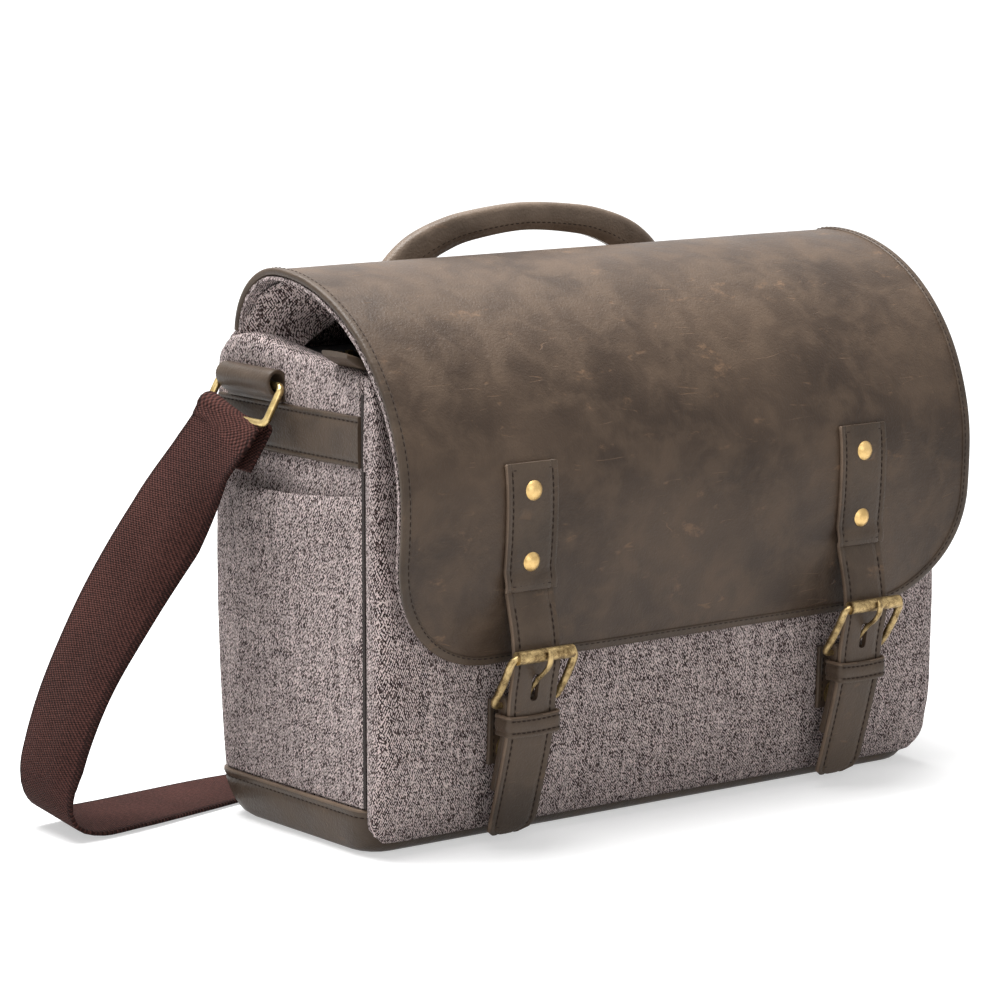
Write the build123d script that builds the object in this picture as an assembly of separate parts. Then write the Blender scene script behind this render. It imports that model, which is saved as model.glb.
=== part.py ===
from build123d import *

import os
from math import asin, atan2, cos, degrees, hypot, radians, sin, sqrt

# Camera messenger bag, closed, with its shoulder strap on the floor behind it.
# Millimetres. Origin: bottom centre of the bag. +X to its right, +Y to its back, +Z up.

# ---------------------------------------------------------------- clearances
soft_gap = 0.35          # air between soft pieces of different bodies
fit_gap = 0.08           # radial running clearance of metal on metal

# ---------------------------------------------------------------- padded body
body_w = 376.0           # outside width of the padded walls
body_d = 132.0           # outside depth of the padded walls
body_h = 244.0           # top of the padded walls
wall_t = 10.0            # padded wall
wall_round = 9.0         # rounding of the upright outside edges
half_w = body_w / 2
half_d = body_d / 2
inner_x = half_w - wall_t
inner_y = half_d - wall_t

yoke_h = 54.0            # upper part of each side, above the slip pocket
side_split_z = body_h - yoke_h

boot_h = 25.0            # leather boot around the bottom
boot_t = 2.0
boot_floor_t = 3.0
boot_edge_round = 4.0
base_board_t = 8.0
floor_z = boot_floor_t + base_board_t

divider_t = 8.0          # two removable dividers
divider_x = 60.0
divider_drop = 19.0      # below the top of the walls
divider_gap = 0.3
tape_t = 1.2             # hook tape on the dividers' upright edges
laptop_wall_t = 6.0
laptop_sleeve_d = 14.0
sleeve_front_y = inner_y - laptop_sleeve_d
laptop_front_y = sleeve_front_y - laptop_wall_t
divider_top_z = body_h - divider_drop

zip_tape_t = 1.2         # open zip over the main bay
zip_tape_w = 26.0
zip_tape_seat = 10.0     # part of the tape's width sewn onto the wall
zip_end_inset = 23.0
zip_half_l = half_w - zip_end_inset
zip_tooth = (3.0, 3.4, 2.6)
zip_pitch = 7.0
zip_slider = (12.0, 10.0, 7.4)
zip_slider_wall = 1.8
zip_slider_round = 2.0
zip_slider_rest = 15.0   # from the right end of the tapes
zip_slider_x = zip_half_l - zip_slider_rest
zip_cheek = (4.4, 1.2)   # bridge cheeks: along the zip and across
zip_cheek_gap = 4.8
zip_cheek_over = 0.5
zip_pull = (22.0, 7.0, 1.6)
zip_pull_round = 2.4
zip_pull_pin_r = 0.9
zip_eye_wall = 1.0
zip_eye_w = 4.2
zip_neck_l = 9.0
zip_neck_lap = 1.0
zip_tab_w = 26.0         # leather tab over the zip's left end
zip_tab_t = 3.0
zip_tab_over = 2.0
zip_tab_inset = 2.0
zip_tab_y = zip_tab_inset - half_d

band_drop = 46.0         # leather band across each upper side
band_h = 26.0
band_t = 2.0
band_z = body_h - band_drop

side_pocket_t = 2.0      # slip pocket on each side
side_pocket_drop = 60.0
side_pocket_gape = 4.4
side_pocket_gape_z = 80.0
side_pocket_edge = 4.0
side_pocket_top_z = body_h - side_pocket_drop

# ---------------------------------------------------------------- front pocket
pocket_t = 4.0           # soft panel under the flap
pocket_over = 2.0        # wider than the walls, each side
pocket_drop = 39.0       # its top edge below the top of the walls
pocket_corner_r = 25.0
pocket_edge = 4.0
pocket_seam_h = 5.0
pocket_w = body_w + 2 * pocket_over
pocket_top_z = body_h - pocket_drop
pocket_proud = (4.4, 12.0, 14.2, 13.5, 10.5)   # bulge beyond the wall, bottom to top
pocket_low = (6.5, 45.0)                       # height of the lower two points
pocket_high = (109.0, 55.0, 0.0)               # depth of the upper three below the top
pocket_heights = list(pocket_low) + [pocket_top_z - drop for drop in pocket_high]
pocket_path = [(-half_d - out, z) for out, z in zip(pocket_proud, pocket_heights)]

# ---------------------------------------------------------------- flap
flap_over = 3.0          # wider than the walls, each side
leather_t = 2.2          # leather, lined with cloth
lining_t = 1.5
flap_rise = 47.0         # crest above the walls
flap_drop = 148.0        # bottom edge below the top of the walls
flap_corner_r = 62.0
flap_rear_inset = 22.0   # outside of the rear fold from the back wall
flap_rear_r = 36.0       # fold behind the crest
flap_front_proud = 36.0  # outside of the front from the front wall
flap_hang_r = 265.0      # the nearly flat hanging part
flap_knee_rise = 7.6     # where the rear of the flap turns onto the shoulder
flap_hinge_inset = 5.0
flap_w = body_w + 2 * flap_over
flap_t = leather_t + lining_t
flap_bottom_z = body_h - flap_drop
flap_crest_z = body_h + flap_rise
flap_knee_z = body_h + flap_knee_rise
flap_rear_y = half_d - flap_rear_inset
flap_crest_y = flap_rear_y - flap_rear_r
flap_front_r = half_d + flap_front_proud + flap_crest_y
flap_hinge_y = half_d - flap_hinge_inset
flap_hinge_z = body_h + soft_gap + flap_t / 2
flap_arc_z = flap_crest_z - flap_front_r
flap_rear_c = (flap_crest_y, flap_crest_z - flap_rear_r)
flap_front_c = (flap_crest_y, flap_arc_z)
flap_hang_c = (flap_crest_y - flap_front_r + flap_hang_r, flap_arc_z)
flap_hang_angle = degrees(asin((flap_arc_z - flap_bottom_z) / flap_hang_r))
shoulder_run = (flap_hinge_y - (flap_rear_y - flap_t / 2), flap_hinge_z - flap_knee_z)
shoulder_l = hypot(*shoulder_run)
shoulder_u = (shoulder_run[0] / shoulder_l, shoulder_run[1] / shoulder_l)
shoulder_n = (-shoulder_u[1], shoulder_u[0])

binding_w = 5.0
binding_t = 1.0
binding_rear_rise = 13.0
binding_rear_z = body_h + binding_rear_rise
hinge_strip_t = 2.2
hinge_strip_h = 30.0
hinge_strip_drop = 0.5

ear_t = 4.0              # cloth ear under each end of the flap
ear_fold_inset = 34.0
ear_dip = (16.0, 9.0)    # in front of the crest and above the walls
ear_arc = 74.0           # degrees of the crest that the ear follows

# ---------------------------------------------------------------- carrying handle
handle_inset = 16.0      # knuckle line from the back wall
handle_half_w = 94.0
handle_rise = 16.0       # middle of the grip above the crest
handle_h = 14.0
handle_t = 9.0
handle_end_w = 24.0
handle_end_t = 2.4
handle_end_run = 12.0
handle_end_gap = 0.4
handle_corner_in = (18.0, 9.0)   # turn points: in from the ends, down from the top
handle_bend_in = (3.29, 16.0)
handle_side_drop = 27.0
handle_y = half_d - handle_inset
handle_top_z = flap_crest_z + handle_rise
handle_corner = (handle_half_w - handle_corner_in[0], handle_top_z - handle_corner_in[1])
handle_bend = (handle_half_w - handle_bend_in[0], handle_top_z - handle_bend_in[1])
handle_side_z = handle_top_z - handle_side_drop

# ---------------------------------------------------------------- closing straps
strap_x = 111.5          # two closing straps
strap_w = 30.0
strap_t = 2.6
anchor_over = 1.25       # wider than the strap, each side
anchor_t = 2.4
anchor_h = 61.5
anchor_rise = 41.5       # above the flap's bottom edge
anchor_w = strap_w + 2 * anchor_over
anchor_z = (flap_bottom_z + anchor_rise, flap_bottom_z + anchor_rise + anchor_h)
strap_hinge_drop = 1.5
rivet_inset = (11.5, 14.0)
rivet_head_r = 5.2
rivet_head_h = 2.6
rivet_head_sink = 0.4
rivet_shank_r = 1.5
rivet_washer_t = 0.9
rivet_washer_sink = 0.3
rivet_washer_r = 4.16
rivet_z = (anchor_z[0] + rivet_inset[0], anchor_z[1] - rivet_inset[1])

heel_proud = 30.0        # buckle: heel bar low, roller bar high
heel_drop = 20.0         # heel bar below the flap's bottom edge
heel_r = 1.8
roller_rise = 27.0
roller_r = 3.4
roller_bar_r = 1.7
buckle_play = 3.0        # between strap and rail, each side
buckle_rail = (4.4, 3.4)
buckle_round = 0.9
buckle_end = 2.4
bar_sink = 1.0
prong_w = 3.0
prong_t = 2.6
prong_eye_r = 3.4
prong_eye_w = 5.0
prong_reach = 1.0
prong_bend = (0.36, 0.2)
slot_w = 4.6
slot_rise = (0.0, 16.5)
heel_y = -half_d - heel_proud
heel_z = flap_bottom_z - heel_drop
roller_z = heel_z + roller_rise
buckle_inner_w = strap_w + 2 * buckle_play
slot_z = (heel_z + slot_rise[0], heel_z + slot_rise[1])

strap_end_z = 6.5
strap_proud = (42.1, 36.4, 35.8)   # beyond the front wall: at roller, heel and knee
strap_heel_rise = 4.0
strap_knee_drop = 14.0
strap_lean = (17.1, 55.5)          # inwards and down, below the knee
strap_knee = (-half_d - strap_proud[2], heel_z - strap_knee_drop)
strap_end_y = strap_knee[0] + (strap_knee[1] - strap_end_z) * strap_lean[0] / strap_lean[1]
strap_knots = [
    (-half_d - strap_proud[0], roller_z),
    (-half_d - strap_proud[1], heel_z + strap_heel_rise),
    strap_knee,
    (strap_end_y, strap_end_z),
]

chape_t = 2.2            # leather loop that holds the heel bar and the snap
chape_inset = 0.5        # narrower than the strap, each side
chape_root_at = (1.0, 4.0)      # from the heel bar: out and down
chape_knee_at = (31.9, 12.0)    # beyond the front wall, and below the heel bar
chape_end_at = (21.6, 46.0)
chape_slant = 1.1        # its thickness measured level, over its own
chape_w = strap_w - 2 * chape_inset
chape_root = (heel_y - chape_root_at[0], heel_z - chape_root_at[1])
chape_knee = (-half_d - chape_knee_at[0], heel_z - chape_knee_at[1])
chape_end = (-half_d - chape_end_at[0], heel_z - chape_end_at[1])
keeper_t = 2.0
keeper_over = 4.0
keeper_h = 10.9
keeper_drop = 15.5
keeper_gap = 0.3
keeper_w = strap_w + 2 * keeper_over
keeper_z = (heel_z - keeper_drop, heel_z - keeper_drop + keeper_h)
snap_r = 8.0
snap_drop = 26.0
snap_socket_t = 3.4
snap_tab_t = 2.4
snap_tab_over = 5.0
snap_tab_bend = 27.5
snap_tab_rise = 14.0
snap_tab_drop = 14.0
snap_z = heel_z - snap_drop
snap_tab_w = strap_w + 2 * snap_tab_over
snap_tab_z = (heel_z - snap_tab_bend, heel_z + snap_tab_rise)

# ---------------------------------------------------------------- rings and webbing
ring_rod_r = 2.0         # strap rings at the sides
ring_half_w = 28.0
ring_h = 21.0
ring_corner_r = 3.5
ring_tilt = 30.0
ring_y = 24.0
ring_loop_bore_r = 4.2
ring_loop_t = 2.2
ring_loop_l = 48.0
ring_loop_drop = 9.0
ring_tail_gap = 0.3      # above the leather band
ring_loop_x = half_w + ring_loop_bore_r + ring_loop_t
ring_loop_z = body_h - ring_loop_drop
ring_tail_z = band_z + band_h + ring_tail_gap
ring_bar_z = ring_loop_z - (ring_loop_bore_r - ring_rod_r - soft_gap)
ring_low_x = ring_loop_x + ring_h * sin(radians(ring_tilt))
ring_low_z = ring_bar_z - ring_h * cos(radians(ring_tilt))

web_w = 50.0             # shoulder webbing
web_t = 2.4
web_bar_gap = 0.3
web_floor_back = 35.0    # floor run behind the back wall
web_floor_z = 1.6
web_floor_bow = (2.0, 0.3)
web_floor_inset = 23.0
web_left_lead = 8.0
web_left_run = (-11.0, -16.5)
web_return_l = 46.0      # sewn end on the left
web_right_run = (27.0, -105.0)
slide_l = 10.0           # double-slot slide on the right
slide_rim = 2.4
slide_end_rim = 4.0
slide_round = 2.0
slide_at = 55.0
slide_straight = 100.0
slide_return_l = 95.0
wrap_r = ring_rod_r + web_bar_gap + web_t / 2
web_floor_y = half_d + web_floor_back
web_floor_half = half_w - web_floor_inset

# hanging parts: out from the side, back from the rear face, height and twist,
# as they hang from a loop at this height
web_drawn_h = 235.0
web_left = [
    (32.0, -36.0, 196.0, 16.0),
    (49.0, -24.0, 165.0, 34.0),
    (68.0, -10.0, 126.0, 32.0),
    (86.0, 0.0, 87.0, 18.0),
    (98.0, 5.0, 54.0, 13.0),
    (102.0, 9.0, 28.0, 11.0),
    (97.0, 9.0, 11.6, 8.0),
    (83.0, 9.0, 5.0, 5.0),
    (58.0, 13.0, 3.8, 3.0),
    (17.0, 23.5, 2.6, 1.5),
]
web_right = [
    (57.0, -32.0, 78.0, 6.0),
    (70.0, -12.0, 44.0, 9.0),
    (74.0, 3.0, 25.0, 9.0),
    (69.0, 9.0, 12.8, 5.0),
    (53.0, 14.0, 5.4, 3.0),
    (17.0, 23.5, 2.8, 1.5),
]


# ---------------------------------------------------------------- the flap's section
def flap_y(z, depth):
    """Depth coordinate of the flap's front at height z, depth under its outside."""
    centre = flap_front_c if z >= flap_arc_z else flap_hang_c
    radius = (flap_front_r if z >= flap_arc_z else flap_hang_r) - depth
    return centre[0] - sqrt(radius ** 2 - (z - flap_arc_z) ** 2)


def shoulder_points(depth):
    """Knee and sewn end of the flap's shoulder at a depth under its outside."""
    off = flap_t / 2 - depth
    end = (flap_hinge_y + off * shoulder_n[0], flap_hinge_z + off * shoulder_n[1])
    run = (flap_rear_y - depth - end[0]) / shoulder_u[0]
    return (flap_rear_y - depth, end[1] + run * shoulder_u[1]), end


handle_seat = shoulder_points(0)


def handle_seat_z(y):
    """Height of the shoulder's outside at depth y."""
    knee, end = handle_seat
    return knee[1] + (end[1] - knee[1]) * (y - knee[0]) / (end[0] - knee[0])


strap_hinge_z = anchor_z[0] - strap_hinge_drop
strap_hinge_y = flap_y(strap_hinge_z, 0) - soft_gap - strap_t / 2
strap_path = [(strap_hinge_y, strap_hinge_z)] + strap_knots
roller_y = strap_knots[0][0] - strap_t / 2 - soft_gap - roller_r
handle_lift = handle_end_t + soft_gap + handle_t / 2
handle_hinge_z = handle_seat_z(handle_y) + handle_lift / shoulder_n[1]


# ---------------------------------------------------------------- helpers
def block(x0, x1, y0, y1, z0, z1):
    """Box between two corners."""
    return Pos((x0 + x1) / 2, (y0 + y1) / 2, (z0 + z1) / 2) * Box(x1 - x0, y1 - y0, z1 - z0)


def across_x(section, x0, x1):
    """Extrude a sketch drawn in (y, z) from x0 to x1."""
    return Pos(x0, 0, 0) * extrude(Plane.YZ * section, x1 - x0)


def across_y(section, y0, y1):
    """Extrude a sketch drawn in (x, z) from y0 to y1."""
    return Pos(0, y1, 0) * extrude(Plane.XZ * section, y1 - y0)


def strip(points, thickness):
    """Sketch of a strip of one thickness with round ends along a polyline."""
    return make_face(Wire(Polyline(*points).edges()).offset_2d(thickness / 2).edges())


def polygon(points):
    """Sketch of a closed polygon."""
    return make_face(Polyline(*points, close=True))


def path_y(points, z):
    """Depth coordinate of a (y, z) polyline at height z."""
    for (y0, z0), (y1, z1) in zip(points, points[1:]):
        if min(z0, z1) <= z <= max(z0, z1):
            return y0 + (y1 - y0) * (z - z0) / (z1 - z0)
    return points[-1][0]


def rod_x(radius, x0, x1, y, z):
    """Round rod along X."""
    return Pos((x0 + x1) / 2, y, z) * Rot(0, 90, 0) * Cylinder(radius, x1 - x0)


def rod_y(radius, y0, y1, x, z):
    """Round rod along Y."""
    return Pos(x, (y0 + y1) / 2, z) * Rot(90, 0, 0) * Cylinder(radius, y1 - y0)


def flip(solid):
    """The same piece on the other side of the bag."""
    return mirror(solid, about=Plane.YZ)


def save(name, *solids):
    """Write one node."""
    shape = solids[0] if len(solids) == 1 else Compound(children=list(solids))
    export_step(shape, f"parts/{name}.step")


# ---------------------------------------------------------------- padded body
def leather_boot():
    """Tray of leather around the bottom of the walls."""
    outer = block(-half_w - boot_t, half_w + boot_t, -half_d - boot_t, half_d + boot_t, 0, boot_h)
    outer = fillet(outer.edges().filter_by(Axis.Z), wall_round + boot_t)
    outer = fillet(outer.faces().sort_by(Axis.Z)[0].edges(), boot_edge_round)
    inner = block(-half_w, half_w, -half_d, half_d, boot_floor_t, body_h)
    return outer - fillet(inner.edges().filter_by(Axis.Z), wall_round)


def long_wall(sign):
    """Front (-1) or back (+1) wall with rounded upright outside edges."""
    near, far = sorted((sign * inner_y, sign * half_d))
    wall = block(-half_w, half_w, near, far, boot_floor_t, body_h)
    corners = wall.edges().filter_by(Axis.Z).group_by(Axis.Y)[-1 if sign > 0 else 0]
    return fillet(corners, wall_round)


def side_wall():
    """Lower left side wall."""
    return block(-half_w, -inner_x, -inner_y, inner_y, boot_floor_t, side_split_z)


def side_yoke():
    """Upper left side, above the slip pocket."""
    return block(-half_w, -inner_x, -inner_y, inner_y, side_split_z, body_h)


def side_band():
    """Leather band stitched across the left yoke."""
    return block(-half_w - band_t, -half_w, -inner_y, inner_y, band_z, band_z + band_h)


def base_board():
    """Padded board in the bottom."""
    return block(-inner_x, inner_x, -inner_y, inner_y, boot_floor_t, floor_z)


def laptop_wall():
    """Padded wall between the main bay and the laptop sleeve."""
    return block(-inner_x, inner_x, laptop_front_y, sleeve_front_y, floor_z, body_h)


def side_pocket():
    """Slip pocket on the left side, gaping at its mouth."""
    start_x = -half_w - side_pocket_t / 2
    gape_x = start_x - side_pocket_gape
    low_z = boot_h + side_pocket_t / 2
    top_z = side_pocket_top_z - side_pocket_t / 2
    path = [(start_x, low_z), (gape_x, side_pocket_gape_z), (gape_x, top_z)]
    panel = across_y(strip(path, side_pocket_t), -inner_y, inner_y)
    web = polygon([(-half_w, low_z)] + path + [(-half_w, top_z)])
    rims = [
        across_y(web, y, y + side_pocket_edge)
        for y in (-inner_y, inner_y - side_pocket_edge)
    ]
    return panel + rims[0] + rims[1]


def side_ear():
    """Cloth ear that rises from the left yoke to the underside of the flap."""
    depth = flap_t + binding_t + soft_gap
    knee, end = shoulder_points(depth)
    arc = CenterArc(flap_rear_c, flap_rear_r - depth, 0, ear_arc)
    fold = (ear_fold_inset - half_d, body_h)
    dip = (flap_crest_y - ear_dip[0], body_h + ear_dip[1])
    rear = (inner_y, body_h)
    start = (inner_y, end[1] + (end[0] - inner_y) * (knee[1] - end[1]) / (end[0] - knee[0]))
    edges = [
        Line(start, knee),
        Line(knee, arc @ 0),
        arc,
        Line(arc @ 1, dip),
        Line(dip, fold),
        Line(fold, rear),
        Line(rear, start),
    ]
    return across_x(make_face(edges), -half_w, -half_w + ear_t)


def hinge_strip():
    """Leather strip at the top of the back wall where the flap is sewn on."""
    top = body_h - hinge_strip_drop
    return block(-inner_x, inner_x, half_d, half_d + hinge_strip_t, top - hinge_strip_h, top)


# ---------------------------------------------------------------- front pocket
def pocket_panel():
    """Soft front panel with rounded bottom corners."""
    panel = across_x(strip(pocket_path, pocket_t), -pocket_w / 2, pocket_w / 2)
    low = pocket_path[0][1] - pocket_t / 2
    outline = block(-pocket_w / 2, pocket_w / 2, -half_d * 2, 0, low, body_h)
    corners = outline.edges().filter_by(Axis.Y).group_by(Axis.Z)[0]
    return panel & fillet(corners, pocket_corner_r)


def pocket_edges(panel):
    """Side and bottom edges that join the pocket panel to the front wall."""
    low = boot_h + soft_gap
    top = pocket_path[-1][1]
    inside = [p for p in pocket_path if p[1] > low]
    profile = [(-half_d, low), (path_y(pocket_path, low), low)] + inside + [(-half_d, top)]
    whole = across_x(polygon(profile), -half_w, half_w)
    reach = half_w - pocket_edge
    hollow = block(-reach, reach, -half_d * 2, 0, low + pocket_seam_h, body_h)
    return whole - hollow - panel


def snap_tab(panel, x):
    """Leather tab on the pocket that carries the snap socket."""
    shift = (pocket_t + snap_tab_t) / 2
    points = [(path_y(pocket_path, z) - shift, z) for z in snap_tab_z]
    lower = snap_tab_z[0] - snap_tab_drop
    points.insert(0, (path_y(pocket_path, lower) - shift, lower))
    return across_x(strip(points, snap_tab_t), x - snap_tab_w / 2, x + snap_tab_w / 2) - panel


def snap_socket(tab, x):
    """Magnetic socket on the tab."""
    face_y = path_y(pocket_path, snap_z) - pocket_t / 2 - snap_tab_t
    return rod_y(snap_r, face_y - snap_socket_t, face_y + snap_tab_t / 2, x, snap_z) - tab


# ---------------------------------------------------------------- inside and zip
def divider(x):
    """Padded divider that presses across the main bay."""
    near = -inner_y + divider_gap + tape_t
    far = laptop_front_y - divider_gap - tape_t
    low = floor_z + divider_gap
    return block(x - divider_t / 2, x + divider_t / 2, near, far, low, divider_top_z)


def divider_tapes(x):
    """Hook tape on both upright edges of a divider."""
    low = floor_z + divider_gap
    near = -inner_y + divider_gap
    far = laptop_front_y - divider_gap
    front = block(x - divider_t / 2, x + divider_t / 2, near, near + tape_t, low, divider_top_z)
    back = block(x - divider_t / 2, x + divider_t / 2, far - tape_t, far, low, divider_top_z)
    return front, back


zip_front_y = -inner_y - zip_tape_seat + zip_tape_w
zip_rear_y = sleeve_front_y - zip_tape_w
zip_tape_mid_z = body_h + zip_tape_t / 2


def zip_tapes():
    """Cloth tapes of the open zip, front and rear."""
    front = block(-zip_half_l, zip_half_l, zip_front_y - zip_tape_w, zip_front_y, body_h,
                  body_h + zip_tape_t)
    rear = block(-zip_half_l, zip_half_l, zip_rear_y, zip_rear_y + zip_tape_w, body_h,
                 body_h + zip_tape_t)
    return front, rear


def zip_teeth():
    """Metal teeth clamped on the free edges of both tapes."""
    count = int((2 * zip_half_l - 2 * zip_tooth[0]) // zip_pitch) + 1
    first = -(count - 1) * zip_pitch / 2
    tooth = Box(*zip_tooth)
    front = [Pos(first + i * zip_pitch, zip_front_y + zip_tooth[1] / 2, zip_tape_mid_z) * tooth
             for i in range(count)]
    rear = [Pos(first + i * zip_pitch, zip_rear_y - zip_tooth[1] / 2, zip_tape_mid_z) * tooth
            for i in range(count)]
    return front + rear


zip_slider_y = zip_front_y + zip_tooth[1] / 2
zip_eye_r = zip_pull_pin_r + fit_gap + zip_eye_wall
zip_pin_z = zip_tape_mid_z + zip_slider[2] / 2 + zip_eye_r + soft_gap


def zip_slider_body():
    """Slider that rides on the front row of teeth, with the bridge for its pull."""
    length, width, height = zip_slider
    body = Pos(zip_slider_x, zip_slider_y, zip_tape_mid_z) * Box(length, width, height)
    body = fillet(body.edges().filter_by(Axis.Z), zip_slider_round)
    channel_h = height - 2 * zip_slider_wall
    tooth_w = zip_tooth[1] + 2 * soft_gap
    channel = Pos(zip_slider_x, zip_slider_y, zip_tape_mid_z) * Box(length * 2, tooth_w, channel_h)
    tape_slot = block(zip_slider_x - length, zip_slider_x + length, zip_slider_y - width,
                      zip_slider_y, zip_tape_mid_z - zip_tape_t / 2 - soft_gap,
                      zip_tape_mid_z + zip_tape_t / 2 + soft_gap)
    low = zip_tape_mid_z + height / 2
    high = zip_pin_z + zip_pull_pin_r + zip_cheek_over
    cheek_w, cheek_t = zip_cheek
    pin_half = (zip_cheek_gap + cheek_t) / 2
    cheeks = [
        block(zip_slider_x - cheek_w / 2, zip_slider_x + cheek_w / 2, y - cheek_t / 2,
              y + cheek_t / 2, low, high)
        for y in (zip_slider_y - pin_half, zip_slider_y + pin_half)
    ]
    pin = rod_y(zip_pull_pin_r, zip_slider_y - pin_half, zip_slider_y + pin_half, zip_slider_x,
                zip_pin_z)
    return body - channel - tape_slot + cheeks[0] + cheeks[1] + pin


def zip_pull_plate():
    """Pull tab hanging on the slider's pin and lying to the left."""
    length, width, thickness = zip_pull
    near = zip_slider_y - zip_eye_w / 2
    far = zip_slider_y + zip_eye_w / 2
    low = zip_pin_z - thickness / 2
    high = zip_pin_z + thickness / 2
    eye = rod_y(zip_eye_r, near, far, zip_slider_x, zip_pin_z)
    neck = block(zip_slider_x - zip_neck_l, zip_slider_x, near, far, low, high)
    plate = block(zip_slider_x - length, zip_slider_x - zip_neck_l + zip_neck_lap,
                  zip_slider_y - width / 2, zip_slider_y + width / 2, low, high)
    plate = fillet(plate.edges().filter_by(Axis.Z), zip_pull_round)
    bore = rod_y(zip_pull_pin_r + fit_gap, near, far, zip_slider_x, zip_pin_z)
    return eye + neck + plate - bore


def zip_end_tab():
    """Leather tab over the left end of the zip."""
    return block(-half_w - zip_tab_over, -zip_half_l, zip_tab_y, zip_tab_y + zip_tab_w,
                 body_h, body_h + zip_tab_t)


# ---------------------------------------------------------------- flap
def flap_edges(depth):
    """Chain of edges of the flap's section at a depth under its outside."""
    knee, end = shoulder_points(depth)
    rear = CenterArc(flap_rear_c, flap_rear_r - depth, 0, 90)
    front = CenterArc(flap_front_c, flap_front_r - depth, 90, 90)
    hang = CenterArc(flap_hang_c, flap_hang_r - depth, 180, flap_hang_angle)
    return [Line(end, knee), Line(knee, rear @ 0), rear, front, hang]


def flap_layer(depth_out, depth_in, inset):
    """Layer of the flap between two depths, cut to the rounded outline less an inset."""
    outside = flap_edges(depth_out)
    inside = flap_edges(depth_in)
    closing = [Line(outside[0] @ 0, inside[0] @ 0), Line(outside[-1] @ 1, inside[-1] @ 1)]
    half = flap_w / 2 - inset
    layer = across_x(make_face(outside + inside + closing), -half, half)
    top = flap_crest_z + flap_rise
    outline = block(-half, half, -flap_w, flap_w, flap_bottom_z + inset, top)
    corners = outline.edges().filter_by(Axis.Y).group_by(Axis.Z)[0]
    return layer & fillet(corners, flap_corner_r - inset)


def flap_binding(leather, lining):
    """Edge binding folded around the sides and bottom of the flap."""
    ring = flap_layer(-binding_t, flap_t + binding_t, 0)
    middle = flap_layer(-2 * binding_t, flap_t + 2 * binding_t, binding_w)
    rear = block(-flap_w, flap_w, flap_crest_y, flap_w, 0, binding_rear_z)
    return ring - middle - rear - leather - lining


def anchor(x):
    """Leather patch riveted on the flap where a closing strap starts."""
    layer = flap_layer(-anchor_t, 0, 0)
    half = anchor_w / 2
    return layer & block(x - half, x + half, -flap_w, 0, anchor_z[0], anchor_z[1])


def rivet(x, z):
    """Domed rivet through the anchor, leather and lining, with its washer inside."""
    face = flap_y(z, -anchor_t)
    back = flap_y(z, flap_t)
    sphere_r = (rivet_head_r ** 2 + rivet_head_h ** 2) / (2 * rivet_head_h)
    dome = Pos(x, face - rivet_head_h + sphere_r, z) * Sphere(sphere_r)
    head = dome & rod_y(rivet_head_r, face - rivet_head_h * 2, face + rivet_head_sink, x, z)
    shank = rod_y(rivet_shank_r, face, back + rivet_washer_t, x, z)
    washer = rod_y(rivet_washer_r, back - rivet_washer_sink, back + rivet_washer_t, x, z)
    return head, shank, washer


# ---------------------------------------------------------------- handle
def handle_end(x):
    """Flat stitched end of the handle on the shoulder."""
    y0 = flap_rear_y + handle_end_t / 2 + handle_end_gap
    points = [
        (y + shoulder_n[0] * handle_end_t / 2, handle_seat_z(y) + shoulder_n[1] * handle_end_t / 2)
        for y in (y0, y0 + handle_end_run)
    ]
    half = handle_end_w / 2
    return across_x(strip(points, handle_end_t), x - half, x + half)


def handle_grip():
    """Rolled leather grip with a knuckle at each end."""
    corner_x, corner_z = handle_corner
    side = (-handle_half_w, handle_side_z)
    bend_x, bend_z = handle_bend
    left = ThreePointArc(side, (-bend_x, bend_z), (-corner_x, corner_z))
    top = ThreePointArc((-corner_x, corner_z), (0, handle_top_z), (corner_x, corner_z))
    right = ThreePointArc((corner_x, corner_z), (bend_x, bend_z), (handle_half_w, handle_side_z))
    low = handle_hinge_z + handle_h / 2
    rise = Line((-handle_half_w, low), side)
    fall = Line((handle_half_w, handle_side_z), (handle_half_w, low))
    path = Wire([rise, left, top, right, fall])
    band = make_face(path.offset_2d(handle_h / 2).edges())
    grip = across_y(band, handle_y - handle_t / 2, handle_y + handle_t / 2)
    grip = grip + [
        rod_x(handle_t / 2, x - handle_end_w / 2, x + handle_end_w / 2, handle_y, handle_hinge_z)
        for x in (-handle_half_w, handle_half_w)
    ]
    return grip


# ---------------------------------------------------------------- closing straps
def closing_strap(x):
    """Strap from the anchor through buckle and keeper down to the bottom edge."""
    half = strap_w / 2
    strap = across_x(strip(strap_path, strap_t), x - half, x + half)
    slot = block(x - slot_w / 2, x + slot_w / 2, -flap_w, 0, slot_z[0], slot_z[1])
    return strap - slot


def chape(x):
    """Folded leather behind the strap that holds the heel bar."""
    half = chape_w / 2
    bore_r = heel_r + soft_gap
    knuckle_r = bore_r + chape_t
    knuckle = rod_x(knuckle_r, x - half, x + half, heel_y, heel_z)
    tongue = across_x(strip([chape_root, chape_knee, chape_end], 2 * chape_t), x - half, x + half)
    bore = rod_x(bore_r, x - half, x + half, heel_y, heel_z)
    gap = (prong_eye_w + 2 * soft_gap) / 2
    reach = 2 * knuckle_r
    slot = block(x - gap, x + gap, heel_y - reach, heel_y + reach,
                 heel_z - prong_eye_r - prong_reach, heel_z + reach)
    return knuckle + tongue - bore - slot


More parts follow.
